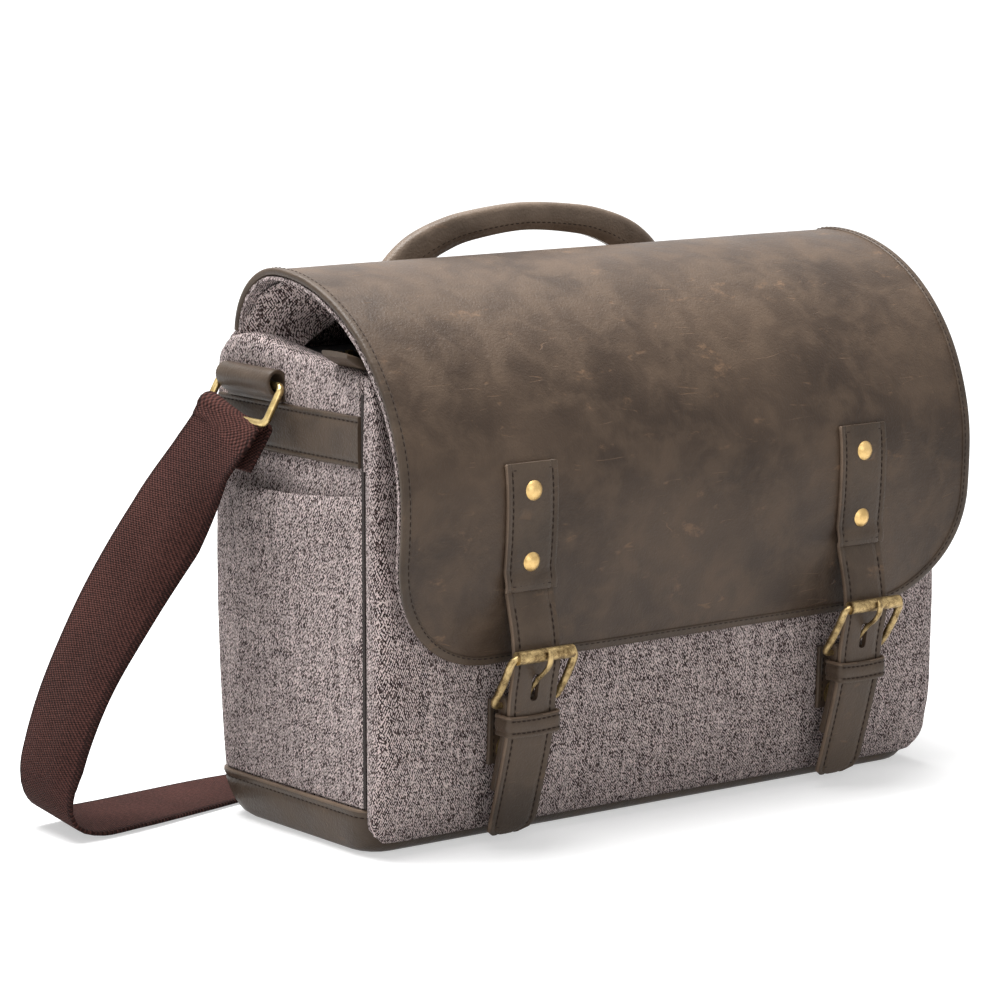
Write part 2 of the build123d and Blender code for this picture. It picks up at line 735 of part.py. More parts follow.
def keeper(x):
    """Leather loop around strap and chape."""
    front = min(path_y(strap_path, z) for z in keeper_z) - strap_t / 2 - keeper_gap
    back = path_y([chape_knee, chape_end], keeper_z[0]) + chape_t * chape_slant + keeper_gap
    half = keeper_w / 2
    outer = block(x - half, x + half, front - keeper_t, back + keeper_t, keeper_z[0], keeper_z[1])
    outer = fillet(outer.edges().filter_by(Axis.Z), keeper_t)
    inner = block(x - half + keeper_t, x + half - keeper_t, front, back, 0, body_h)
    return outer - inner


def snap_stud(x, chape_solid):
    """Magnetic stud on the back of the chape."""
    socket_y = path_y(pocket_path, snap_z) - pocket_t / 2 - snap_tab_t - snap_socket_t
    front = path_y([chape_knee, chape_end], snap_z)
    return rod_y(snap_r, front, socket_y - soft_gap, x, snap_z) - chape_solid


# ---------------------------------------------------------------- buckle
buckle_l = hypot(roller_y - heel_y, roller_z - heel_z)
buckle_n = (0, -(roller_z - heel_z) / buckle_l, (roller_y - heel_y) / buckle_l)


def on_buckle(x, solid):
    """Place a solid drawn flat, heel bar at the origin, onto the leaning buckle."""
    return Plane(origin=(x, heel_y, heel_z), x_dir=(1, 0, 0), z_dir=buckle_n) * solid


def buckle_frame(x):
    """Frame with heel bar and roller bar."""
    rail_w, rail_t = buckle_rail
    reach = buckle_inner_w / 2
    length = buckle_l + 2 * buckle_end
    rail = Box(rail_w, length, rail_t)
    rail = fillet(rail.edges(), buckle_round)
    bar = reach + bar_sink
    frame = rod_x(heel_r, -bar, bar, 0, 0)
    frame += rod_x(roller_bar_r, -bar, bar, buckle_l, 0)
    for side in (-1, 1):
        frame += Pos(side * (reach + rail_w / 2), buckle_l / 2, 0) * rail
    return on_buckle(x, frame)


def buckle_roller(x):
    """Loose tube on the roller bar."""
    half = buckle_inner_w / 2 - soft_gap
    tube = rod_x(roller_r, -half, half, buckle_l, 0)
    return on_buckle(x, tube - rod_x(roller_bar_r + fit_gap, -half, half, buckle_l, 0))


def buckle_prong(x):
    """Tongue pin: eye on the heel bar, bent shaft, tip on the roller."""
    rest = roller_r + soft_gap + prong_t / 2
    bend = (buckle_l * prong_bend[0], prong_t * prong_bend[1])
    path = [(0, 0), bend, (buckle_l + prong_reach, rest)]
    shaft = across_x(strip(path, prong_t), -prong_w / 2, prong_w / 2)
    eye = rod_x(prong_eye_r, -prong_eye_w / 2, prong_eye_w / 2, 0, 0)
    bore = rod_x(heel_r + fit_gap, -prong_eye_w, prong_eye_w, 0, 0)
    return on_buckle(x, shaft + eye - bore)


# ---------------------------------------------------------------- side rings
def ring_loop():
    """Leather loop sewn on the left yoke above the band."""
    outer_r = ring_loop_bore_r + ring_loop_t
    y0 = ring_y - ring_loop_l / 2
    y1 = ring_y + ring_loop_l / 2
    tube = rod_y(outer_r, y0, y1, -ring_loop_x, ring_loop_z)
    tail = block(-half_w - ring_loop_t, -half_w, y0, y1, ring_tail_z, ring_loop_z)
    return tube + tail - rod_y(ring_loop_bore_r, y0, y1, -ring_loop_x, ring_loop_z)


def ring():
    """Rectangular rod ring hanging outwards from the left loop."""
    lean = radians(ring_tilt)
    up = (sin(lean), 0, cos(lean))
    normal = Vector(0, 1, 0).cross(Vector(*up))
    middle = ((-ring_loop_x - ring_low_x) / 2, ring_y, (ring_bar_z + ring_low_z) / 2)
    plane = Plane(origin=middle, x_dir=(0, 1, 0), z_dir=normal)
    path = plane * RectangleRounded(2 * ring_half_w, ring_h, ring_corner_r).wire()
    start = path @ 0
    section = Plane(origin=start, z_dir=path % 0) * Circle(ring_rod_r)
    return sweep(section, path=path)


# ---------------------------------------------------------------- shoulder webbing
def web_section(centre, along, twist):
    """Rectangle of the webbing across its run."""
    width = Vector(0, cos(radians(twist)), sin(radians(twist)))
    width = (width - along * width.dot(along)).normalized()
    return Plane(origin=centre, x_dir=width, z_dir=along) * Rectangle(web_w, web_t)


def web_run(stations, first, last):
    """Ruled band through stations (x, y, z, twist), with its end directions given."""
    points = [Vector(*s[:3]) for s in stations]
    alongs = [first]
    for before, after in zip(points, points[2:]):
        alongs.append((after - before).normalized())
    alongs.append(last)
    sections = [web_section(p, a, s[3]) for p, a, s in zip(points, alongs, stations)]
    return loft(sections, ruled=True)


def thick_open(edges, thickness):
    """Face around an open line, arc, line chain, with square ends."""
    lead, arc, tail = edges
    parts = []
    for line in (lead, tail):
        mid = line @ 0.5
        turn = degrees(atan2((line % 0.5).Y, (line % 0.5).X))
        parts.append(Pos(mid.X, mid.Y) * Rot(0, 0, turn) * Rectangle(line.length, thickness))
    middle = Pos(*tuple(arc.arc_center))
    bend = middle * (Circle(wrap_r + thickness / 2) - Circle(wrap_r - thickness / 2))
    turn = degrees(atan2((lead % 1).Y, (lead % 1).X))
    size = 2 * (wrap_r + thickness)
    keep = middle * Rot(0, 0, turn) * Pos(size / 2, 0) * Rectangle(size, size)
    return parts[0] + parts[1] + (bend & keep)


def web_wrap(side, run, lead, tail):
    """Webbing around a ring's lower bar, leading off outside and ending inside."""
    length = hypot(*run)
    u = (run[0] / length, run[1] / length)
    n = (-side * u[1], side * u[0])
    bar = (side * ring_low_x, ring_low_z)
    out = (bar[0] + n[0] * wrap_r, bar[1] + n[1] * wrap_r)
    back = (2 * bar[0] - out[0], 2 * bar[1] - out[1])
    top = (bar[0] - u[0] * wrap_r, bar[1] - u[1] * wrap_r)
    lead_end = (out[0] + u[0] * lead, out[1] + u[1] * lead)
    tail_end = (back[0] + u[0] * tail, back[1] + u[1] * tail)
    centre = [Line(lead_end, out), ThreePointArc(out, top, back), Line(back, tail_end)]
    solid = across_y(thick_open(centre, web_t), ring_y - web_w / 2, ring_y + web_w / 2)
    return solid, (lead_end[0], ring_y, lead_end[1], 0.0), Vector(u[0], 0, u[1])


def hanging(side, stations):
    """Stations of a hanging part on one side, for the height of the ring loops."""
    scale = ring_loop_z / web_drawn_h
    return [
        (side * (half_w + out), half_d + back, height * scale, twist)
        for out, back, height, twist in stations
    ]


def shoulder_webbing():
    """One webbing: left ring, floor behind the bag, right ring and back to the slide."""
    left, left_start, left_u = web_wrap(-1, web_left_run, web_left_lead, web_return_l)
    right, right_start, right_u = web_wrap(1, web_right_run, slide_straight, slide_return_l)
    bow_y, bow_z = web_floor_bow
    floor = [
        (-web_floor_half, web_floor_y - bow_y, web_floor_z + bow_z, 0.0),
        (0.0, web_floor_y, web_floor_z, 0.0),
        (web_floor_half, web_floor_y - bow_y, web_floor_z + bow_z, 0.0),
    ]
    down = [left_start] + hanging(-1, web_left)
    up = list(reversed(hanging(1, web_right))) + [right_start]
    return left + web_run(down + floor + up, left_u, -right_u) + right


def strap_slide():
    """Double-slot slide around both layers of webbing on the right."""
    length = hypot(*web_right_run)
    u = Vector(web_right_run[0] / length, 0, web_right_run[1] / length)
    centre = Vector(ring_low_x, ring_y, ring_low_z) + u * slide_at
    slot_h = web_t + 2 * soft_gap
    height = 2 * wrap_r + slot_h + 2 * slide_rim
    width = web_w + 2 * soft_gap + 2 * slide_end_rim
    body = fillet(Box(width, height, slide_l).edges().filter_by(Axis.Z), slide_round)
    for side in (-1, 1):
        body -= Pos(0, side * wrap_r, 0) * Box(web_w + 2 * soft_gap, slot_h, slide_l)
    return Plane(origin=centre, x_dir=(0, 1, 0), z_dir=u) * body


# ---------------------------------------------------------------- build
def main():
    """Build and write every node."""
    os.makedirs("parts", exist_ok=True)
    save("leather_boot", leather_boot())
    save("base_board", base_board())
    save("back_panel", long_wall(1))
    save("front_wall", long_wall(-1))
    save("laptop_wall", laptop_wall())
    save("flap_hinge_strip", hinge_strip())
    paired = {
        "side_wall": side_wall(),
        "side_yoke": side_yoke(),
        "side_band": side_band(),
        "side_pocket": side_pocket(),
        "side_ear": side_ear(),
        "ring_loop": ring_loop(),
        "ring": ring(),
    }
    for name, solid in paired.items():
        save(f"left_{name}", solid)
        save(f"right_{name}", flip(solid))

    panel = pocket_panel()
    save("front_pocket_panel", panel)
    save("front_pocket_edges", pocket_edges(panel))
    tabs = [snap_tab(panel, x) for x in (-strap_x, strap_x)]
    save("snap_tabs", *tabs)
    save("snap_sockets", *[snap_socket(t, x) for t, x in zip(tabs, (-strap_x, strap_x))])

    for side, x in (("left", -divider_x), ("right", divider_x)):
        save(f"{side}_divider", divider(x))
        save(f"{side}_divider_tapes", *divider_tapes(x))
    save("zip_tapes", *zip_tapes())
    save("zip_teeth", *zip_teeth())
    save("zip_slider", zip_slider_body())
    save("zip_pull", zip_pull_plate())
    save("zip_end_tab", zip_end_tab())

    leather = flap_layer(0, leather_t, binding_t)
    lining = flap_layer(leather_t, flap_t, binding_t)
    save("flap_binding", flap_binding(leather, lining))
    anchors = {"left": anchor(-strap_x), "right": anchor(strap_x)}
    rivets = []
    for side, x in (("left", -strap_x), ("right", strap_x)):
        for z in rivet_z:
            head, shank, washer = rivet(x, z)
            rivets.append((head - anchors[side]) + shank + (washer - lining))
            leather -= shank
            lining -= shank
            anchors[side] -= shank
    save("flap_leather", leather)
    save("flap_lining", lining)
    for side in ("left", "right"):
        save(f"{side}_anchor", anchors[side])
    save("anchor_rivets", *rivets)
    save("handle_ends", handle_end(-handle_half_w), handle_end(handle_half_w))
    save("handle_grip", handle_grip())

    for side, x in (("left", -strap_x), ("right", strap_x)):
        loop = chape(x)
        save(f"{side}_strap", closing_strap(x))
        save(f"{side}_chape", loop)
        save(f"{side}_keeper", keeper(x))
        save(f"{side}_snap_stud", snap_stud(x, loop))
        save(f"{side}_buckle_frame", buckle_frame(x))
        save(f"{side}_buckle_roller", buckle_roller(x))
        save(f"{side}_buckle_prong", buckle_prong(x))

    save("webbing", shoulder_webbing())
    save("strap_slide", strap_slide())


main()
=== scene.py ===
"""Camera messenger bag: the looks of every piece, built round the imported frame.

Sizes in the classes are millimetres in the frame's own axes: X to the bag's
right, Y to its back, Z up, from the bottom centre. Meshes are made in metres.
"""

import logging
import math
from dataclasses import dataclass, field
from enum import Enum
from functools import cached_property, reduce
from typing import Callable, Iterable, Optional, Sequence

import bpy
import numpy as np
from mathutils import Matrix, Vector, noise


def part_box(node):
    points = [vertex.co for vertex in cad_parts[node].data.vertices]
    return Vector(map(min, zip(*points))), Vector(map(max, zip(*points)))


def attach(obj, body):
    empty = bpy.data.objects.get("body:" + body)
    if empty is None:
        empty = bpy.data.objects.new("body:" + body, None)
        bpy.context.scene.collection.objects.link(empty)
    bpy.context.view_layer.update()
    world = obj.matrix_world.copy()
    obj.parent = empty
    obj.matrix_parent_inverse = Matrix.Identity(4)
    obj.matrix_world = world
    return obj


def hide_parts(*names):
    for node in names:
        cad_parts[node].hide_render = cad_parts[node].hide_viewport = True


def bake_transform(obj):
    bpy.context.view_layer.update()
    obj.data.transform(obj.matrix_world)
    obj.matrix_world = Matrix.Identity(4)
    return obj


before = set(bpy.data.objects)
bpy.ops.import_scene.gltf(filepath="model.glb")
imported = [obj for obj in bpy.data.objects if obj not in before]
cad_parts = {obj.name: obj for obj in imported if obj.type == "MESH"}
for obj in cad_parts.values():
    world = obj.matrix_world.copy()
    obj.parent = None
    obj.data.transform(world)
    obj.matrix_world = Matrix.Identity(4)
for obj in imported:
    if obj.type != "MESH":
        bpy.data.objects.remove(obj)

log = logging.getLogger("bag")
MM = 0.001
HALF_W = 188.0      # half the padded body's width
HALF_D = 66.0       # half its depth
STRAP_X = 111.5     # a closing strap's middle, to either side


# ------------------------------------------------------------------ names
class Body(str, Enum):
    """Moving bodies of the bag."""

    BAG = "bag_body"
    FLAP = "flap"
    HANDLE = "handle"


class Slot(str, Enum):
    """Material slots of the record."""

    TWEED = "tweed"
    LINING = "lining"
    PADDING = "padding"
    LEATHER = "leather"
    WEBBING = "webbing"
    ANTIQUE = "antique_brass"
    RIVET = "rivet_brass"
    HOOK_TAPE = "hook_tape"


class Side(Enum):
    """The two sides of the bag."""

    LEFT = -1
    RIGHT = 1

    @property
    def word(self) -> str:
        """The side's name in node and body names."""
        return self.name.lower()


# ------------------------------------------------------------------ measures
def ramp(value: float, start: float, width: float) -> float:
    """How far a value is past a start, from 0 to 1 over a width."""
    return min(max((value - start) / width, 0.0), 1.0)


def eased(share: float) -> float:
    """A share from 0 to 1 that starts and ends softly."""
    return share * share * (3 - 2 * share)


def box_of(node: str) -> tuple[Vector, Vector]:
    """The two corners of a frame node's box, in millimetres."""
    low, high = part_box(node)
    return low / MM, high / MM


def ring_points(wide: float, deep: float, step: int) -> list[tuple[float, float]]:
    """Points round an oval, a step in degrees apart."""
    return [(wide * math.cos(math.radians(a)), deep * math.sin(math.radians(a)))
            for a in range(0, 360, step)]


# ------------------------------------------------------------------ mesh tools
def deselect() -> None:
    """Leave nothing selected."""
    bpy.ops.object.select_all(action="DESELECT")


def activate(piece: bpy.types.Object) -> None:
    """Select one piece and make it active."""
    deselect()
    piece.select_set(True)
    bpy.context.view_layer.objects.active = piece


def apply(piece: bpy.types.Object, kind: str, **settings: object) -> None:
    """Add a modifier, set it and apply it.

    Args:
        piece: the mesh to work on.
        kind: Blender's name for the modifier.
        **settings: its settings.
    """
    activate(piece)
    modifier = piece.modifiers.new(kind.title(), kind)
    for key, value in settings.items():
        setattr(modifier, key, value)
    bpy.ops.object.modifier_apply(modifier=modifier.name)


def loft(name: str, rings: Sequence[Sequence[Vector]],
         closed: bool = False) -> bpy.types.Object:
    """Lay a grid over rings of points, close its seam and cap its ends.

    Args:
        name: the piece's name.
        rings: rings with the same number of points, in millimetres.
        closed: True if the last ring joins the first.

    Returns:
        The closed piece.
    """
    count = len(rings[0])
    rows = len(rings) if closed else len(rings) - 1
    deselect()
    bpy.ops.mesh.primitive_grid_add(x_subdivisions=count, y_subdivisions=rows, size=1.0)
    piece = bpy.context.object
    piece.name = name
    piece.data.name = name
    for vertex in piece.data.vertices:
        column = round((vertex.co.x + 0.5) * count) % count
        row = round((vertex.co.y + 0.5) * rows) % len(rings)
        vertex.co = rings[row][column] * MM
    bpy.ops.object.mode_set(mode="EDIT")
    bpy.ops.mesh.select_all(action="SELECT")
    bpy.ops.mesh.remove_doubles(threshold=1e-6)
    if not closed:
        bpy.ops.mesh.select_all(action="SELECT")
        bpy.ops.mesh.fill_holes(sides=0)
    bpy.ops.mesh.select_all(action="SELECT")
    bpy.ops.mesh.normals_make_consistent(inside=False)
    bpy.ops.object.mode_set(mode="OBJECT")
    return piece


def block(name: str, low: Vector, high: Vector, bevel: float, cuts: int = 1,
          segments: int = 2) -> bpy.types.Object:
    """A box between two corners, cut up and with its edges rounded.

    Args:
        name: the piece's name.
        low: its lowest corner, in millimetres.
        high: its highest corner.
        bevel: radius of its edges.
        cuts: how often its faces are divided afterwards.
        segments: steps in the rounding.

    Returns:
        The piece.
    """
    deselect()
    bpy.ops.mesh.primitive_cube_add(size=1.0)
    piece = bpy.context.object
    piece.name = name
    piece.data.name = name
    for vertex in piece.data.vertices:
        unit = vertex.co + Vector((0.5, 0.5, 0.5))
        vertex.co = Vector([lo + (hi - lo) * t for lo, hi, t in zip(low, high, unit)]) * MM
    bpy.ops.object.mode_set(mode="EDIT")
    bpy.ops.mesh.select_all(action="SELECT")
    bpy.ops.mesh.bevel(offset=bevel * MM, segments=segments, affect="EDGES")
    if cuts:
        bpy.ops.mesh.select_all(action="SELECT")
        bpy.ops.mesh.subdivide(number_cuts=cuts)
    bpy.ops.object.mode_set(mode="OBJECT")
    return piece


def shape(piece: bpy.types.Object, rule: Callable[[Vector], Vector]) -> None:
    """Move every vertex by a rule in millimetres."""
    for vertex in piece.data.vertices:
        vertex.co = rule(vertex.co / MM) * MM
    piece.data.update()


def cut(piece: bpy.types.Object, tool: bpy.types.Object) -> None:
    """Cut one piece with another and throw the cutter away."""
    apply(piece, "BOOLEAN", object=tool, operation="DIFFERENCE", solver="EXACT")
    bpy.data.objects.remove(tool)


def joined(name: str, parts: Sequence[bpy.types.Object]) -> bpy.types.Object:
    """Join meshes into one piece and name it."""
    deselect()
    for part in parts:
        part.select_set(True)
    bpy.context.view_layer.objects.active = parts[0]
    if len(parts) > 1:
        bpy.ops.object.join()
    parts[0].name = name
    parts[0].data.name = name
    return parts[0]


def smooth(piece: bpy.types.Object, angle: float) -> None:
    """Shade smooth across edges flatter than an angle in degrees."""
    activate(piece)
    bpy.ops.object.shade_smooth_by_angle(angle=math.radians(angle))


def paint(piece: bpy.types.Object, index: int,
          test: Callable[[bpy.types.MeshPolygon], bool]) -> None:
    """Give a finish to the faces that pass a test."""
    for face in piece.data.polygons:
        if test(face):
            face.material_index = index


def lay_cloth(piece: bpy.types.Object) -> None:
    """Give a piece a UV map in metres, each face laid flat along the wall it is nearest to."""
    layer = piece.data.uv_layers.active or piece.data.uv_layers.new(name="cloth")
    points = piece.data.vertices
    for face in piece.data.polygons:
        steep = [abs(v) for v in face.normal]
        first, second = (0, 1) if steep[2] > 0.8 else (1, 2) if steep[0] > steep[1] else (0, 2)
        for i in face.loop_indices:
            place = points[piece.data.loops[i].vertex_index].co
            layer.data[i].uv = (place[first], place[second])


def ripple(point: Vector, size: float, seed: float = 0.0) -> float:
    """Smooth unevenness from -1 to 1 with features of a size in millimetres."""
    return noise.noise(point / size + Vector((seed, seed * 0.7, -seed)))


# ------------------------------------------------------------------ runs
@dataclass(frozen=True)
class Station:
    """A place on a run: its middle, and unit vectors across, out and along."""

    at: Vector
    across: Vector
    out: Vector

    @property
    def along(self) -> Vector:
        """The way the run goes."""
        return self.out.cross(self.across)

    def point(self, across: float, out: float) -> Vector:
        """A point beside the middle."""
        return self.at + self.across * across + self.out * out


def rounded(points: Sequence[tuple[float, float]], rounds: int = 3) -> list[tuple[float, float]]:
    """Cut the corners of an open line until it is smooth.

    Args:
        points: the line's corners.
        rounds: how often each corner is cut.

    Returns:
        The smoother line, with the same ends.
    """
    line = list(points)
    for _ in range(rounds):
        cutline = [line[0]]
        for (x0, y0), (x1, y1) in zip(line, line[1:]):
            cutline.append((x0 * 0.75 + x1 * 0.25, y0 * 0.75 + y1 * 0.25))
            cutline.append((x0 * 0.25 + x1 * 0.75, y0 * 0.25 + y1 * 0.75))
        line = cutline + [line[-1]]
    return line


def even(points: Sequence[tuple[float, float]], step: float) -> list[tuple[float, float]]:
    """Points a step apart along a line in a plane.

    Args:
        points: the line.
        step: the distance wanted between points.

    Returns:
        Points from end to end of the line.
    """
    line = np.array(points, float)
    lengths = np.r_[0, np.cumsum(np.hypot(*np.diff(line, axis=0).T))]
    marks = np.linspace(0, lengths[-1], max(2, round(lengths[-1] / step) + 1))
    return [(float(a), float(b)) for a, b in zip(np.interp(marks, lengths, line[:, 0]),
                                                 np.interp(marks, lengths, line[:, 1]))]


def heading(line: Sequence[Sequence[float]], i: int) -> tuple[float, float]:
    """The way a line goes at one of its points, by its first two values."""
    before, after = line[max(i - 1, 0)], line[min(i + 1, len(line) - 1)]
    way = Vector((after[0] - before[0], after[1] - before[1])).normalized()
    return way.x, way.y


def upright_run(x: float, points: Sequence[tuple[float, float]]) -> list[Station]:
    """Stations of a run in a plane across X that goes down the bag's front.

    Args:
        x: where the plane is.
        points: depth and height of the run's points.

    Returns:
        Stations that face out of the bag's front.
    """
    stations = []
    for i, (y, z) in enumerate(points):
        back, up = heading(points, i)
        stations.append(Station(Vector((x, y, z)), Vector((1, 0, 0)), Vector((0, up, -back))))
    return stations


def band_section(width: float, thick: float, turn: float, cells: int = 4,
                 crown: float = 0.0) -> list[tuple[float, float]]:
    """Points round a flat band with rounded edges.

    Args:
        width: across the band.
        thick: its thickness, with the run in its middle.
        turn: radius of its edges.
        cells: divisions of its faces.
        crown: how far the outer face stands proud in the middle.

    Returns:
        Points (across, out), outer face first.
    """
    half, deep = width / 2, thick / 2
    flat = half - turn
    face = [(-flat + 2 * flat * i / cells, deep) for i in range(cells + 1)]
    face = [(a, b + crown * (1 - (a / half) ** 2)) for a, b in face]
    edge = [(flat + turn * math.sin(t), (deep - turn) + turn * math.cos(t))
            for t in (math.radians(30), math.radians(60), math.radians(90))]
    low = [(a, -b) for a, b in reversed(edge)]
    right = edge + ([] if deep - turn < 1e-6 else low[:1]) + low[1:]
    back = [(flat - 2 * flat * i / cells, -deep) for i in range(cells + 1)]
    left = [(-a, b) for a, b in reversed(right)]
    return face + right + back + left


def sweep(name: str, stations: Sequence[Station],
          section: Callable[[int], Sequence[tuple[float, float]]],
          closed: bool = False) -> bpy.types.Object:
    """A piece with a section at each station of a run.

    Args:
        name: the piece's name.
        stations: the run.
        section: gives the points (across, out) for a station's number.
        closed: True for a run that joins its own start.

    Returns:
        The piece.
    """
    rings = [[s.point(a, b) for a, b in section(i)] for i, s in enumerate(stations)]
    return loft(name, rings, closed)


def spaced(stations: Sequence[Station], pitch: float, across: float = 0.0,
           out: float = 0.0, closed: bool = False) -> list[Station]:
    """Stations at one pitch along a line beside a run.

    Args:
        stations: the run.
        pitch: distance between the new stations.
        across: offset of the line across the run.
        out: offset out of it.
        closed: True for a run that joins its own start.

    Returns:
        The new stations.
    """
    run = list(stations) + ([stations[0]] if closed else [])
    line = [s.point(across, out) for s in run]
    marks = np.r_[0, np.cumsum([(b - a).length for a, b in zip(line, line[1:])])]
    found = []
    for mark in np.arange(pitch / 2, marks[-1], pitch):
        i = min(int(np.searchsorted(marks, mark)) - 1, len(line) - 2)
        share = (mark - marks[i]) / max(marks[i + 1] - marks[i], 1e-9)
        way = (line[i + 1] - line[i]).normalized()
        outward = run[i].out.lerp(run[i + 1].out, share).normalized()
        found.append(Station(line[i].lerp(line[i + 1], share), way.cross(outward), outward))
    return found


# ------------------------------------------------------------------ sewing
@dataclass(frozen=True)
class Thread:
    """A seam's stitches."""

    pitch: float = 3.6
    length: float = 2.7
    width: float = 0.85
    height: float = 0.55

    def stitch(self) -> tuple[np.ndarray, list[tuple[int, ...]]]:
        """One stitch: a small rounded grain, lying along X.

        Returns:
            Its points in millimetres and its faces.
        """
        deselect()
        bpy.ops.mesh.primitive_uv_sphere_add(segments=6, ring_count=4, radius=0.5)
        grain = bpy.context.object
        co = np.array([v.co for v in grain.data.vertices], float)
        faces = [tuple(p.vertices) for p in grain.data.polygons]
        bpy.data.objects.remove(grain)
        return co[:, [2, 0, 1]] * np.array([self.length, self.width, self.height]), faces

    def sew(self, name: str, lines: Iterable[Sequence[Station]]) -> bpy.types.Object:
        """Sew lines of stitches as one piece.

        Args:
            name: the piece's name.
            lines: stations of each line's stitches.

        Returns:
            The piece.
        """
        grain, faces = self.stitch()
        points, polygons = [], []
        for station in (s for line in lines for s in line):
            turn = np.array([station.along, station.across, station.out], float)
            first = sum(len(p) for p in points)
            points.append(grain @ turn + np.array(station.at, float))
            polygons.extend(tuple(first + i for i in face) for face in faces)
        mesh = bpy.data.meshes.new(name)
        mesh.from_pydata((np.vstack(points) * MM).tolist(), [], polygons)
        piece = bpy.data.objects.new(name, mesh)
        bpy.context.scene.collection.objects.link(piece)
        activate(piece)
        bpy.ops.object.mode_set(mode="EDIT")
        bpy.ops.mesh.select_all(action="SELECT")
        bpy.ops.mesh.normals_make_consistent(inside=False)
        bpy.ops.object.mode_set(mode="OBJECT")
        return piece


# ------------------------------------------------------------------ finishes
class Nodes:
    """A node tree being put together."""

    def __init__(self, tree: bpy.types.NodeTree) -> None:
        """Work on a tree."""
        self.tree = tree

    def add(self, kind: str, **values: object) -> bpy.types.Node:
        """Add a node and set or link its inputs.

        Args:
            kind: the node's type, without its ShaderNode prefix.
            **values: settings, numbers, colours or sockets by input name.

        Returns:
            The node.
        """
        node = self.tree.nodes.new("ShaderNode" + kind)
        for key, value in values.items():
            name = key.replace("_", " ")
            if name in node.inputs:
                self.give(node.inputs[name], value)
            else:
                setattr(node, key, value)
        return node

    def give(self, socket: bpy.types.NodeSocket, value: object) -> None:
        """Link a socket to an input, or set its value."""
        if isinstance(value, bpy.types.NodeSocket):
            self.tree.links.new(value, socket)
        elif isinstance(value, tuple) and len(value) == 3 and socket.type == "RGBA":
            socket.default_value = (*value, 1.0)
        else:
            socket.default_value = value

    def math(self, operation: str, a: object, b: object = 0.0) -> bpy.types.NodeSocket:
        """A Math node's result."""
        node = self.add("Math", operation=operation)
        self.give(node.inputs[0], a)
        self.give(node.inputs[1], b)
        return node.outputs[0]

    def plus(self, a: object, b: object) -> bpy.types.NodeSocket:
        """A sum."""
        return self.math("ADD", a, b)

    def minus(self, a: object, b: object) -> bpy.types.NodeSocket:
        """A difference."""
        return self.math("SUBTRACT", a, b)

    def times(self, a: object, b: object) -> bpy.types.NodeSocket:
        """A product."""
        return self.math("MULTIPLY", a, b)

    def most(self, a: object, b: object) -> bpy.types.NodeSocket:
        """The larger of two values."""
        return self.math("MAXIMUM", a, b)

    def mix(self, share: object, a: object, b: object) -> bpy.types.NodeSocket:
        """A colour between two colours."""
        node = self.add("Mix", data_type="RGBA")
        self.give(node.inputs[0], share)
        self.give(node.inputs[6], a)
        self.give(node.inputs[7], b)
        return node.outputs[2]

    def steps(self, value: object, low: float, high: float) -> bpy.types.NodeSocket:
        """A value spread from 0 at low to 1 at high, smoothly."""
        node = self.add("MapRange", interpolation_type="SMOOTHSTEP", clamp=True)
        self.give(node.inputs["Value"], value)
        self.give(node.inputs["From Min"], low)
        self.give(node.inputs["From Max"], high)
        return node.outputs["Result"]

    def seen(self) -> bpy.types.NodeSocket:
        """1 on the ways from the camera, straight, mirrored or through, and 0 for the light."""
        path = self.add("LightPath")
        return self.most(path.outputs["Is Camera Ray"],
                         self.most(path.outputs["Is Glossy Ray"],
                                   path.outputs["Is Transmission Ray"]))

    def place(self, uv: bool = False) -> bpy.types.NodeSocket:
        """The coordinates of a point: the piece's own, or its UV map."""
        node = self.add("TexCoord")
        return node.outputs["UV" if uv else "Object"]

    def scaled(self, where: bpy.types.NodeSocket, scale: tuple[float, float, float],
               turn: float = 0.0) -> bpy.types.NodeSocket:
        """Coordinates turned about Z and scaled."""
        node = self.add("Mapping", vector_type="POINT", Vector=where, Scale=scale,
                        Rotation=(0.0, 0.0, turn))
        return node.outputs[0]

    def speckle(self, where: bpy.types.NodeSocket, scale: float, detail: float = 2.0,
                rough: float = 0.5, bend: float = 0.0) -> bpy.types.NodeSocket:
        """Noise at a scale per metre."""
        node = self.add("TexNoise", Vector=where, Scale=scale, Detail=detail, Roughness=rough,
                        Distortion=bend)
        return node.outputs["Fac"]

    def bump(self, height: bpy.types.NodeSocket, depth: float,
             strength: float = 1.0) -> bpy.types.NodeSocket:
        """A normal from a height, with its depth in metres."""
        node = self.add("Bump", Height=height, Distance=depth, Strength=strength)
        return node.outputs[0]


class Shader(Nodes):
    """A material being put together from nodes."""

    def __init__(self, name: str) -> None:
        """Start a material with an empty principled shader."""
        self.material = bpy.data.materials.new(name)
        self.material.use_nodes = True
        super().__init__(self.material.node_tree)
        self.surface = self.tree.nodes["Principled BSDF"]

    def finish(self, color: object, roughness: object, normal: object = None,
               **constants: float) -> bpy.types.Material:
        """Fill the shader and return the material."""
        self.give(self.surface.inputs["Base Color"], color)
        self.give(self.surface.inputs["Roughness"], roughness)
        if normal is not None:
            self.give(self.surface.inputs["Normal"], normal)
        for key, value in constants.items():
            self.surface.inputs[key.replace("_", " ")].default_value = value
        return self.material


Color = tuple[float, float, float]


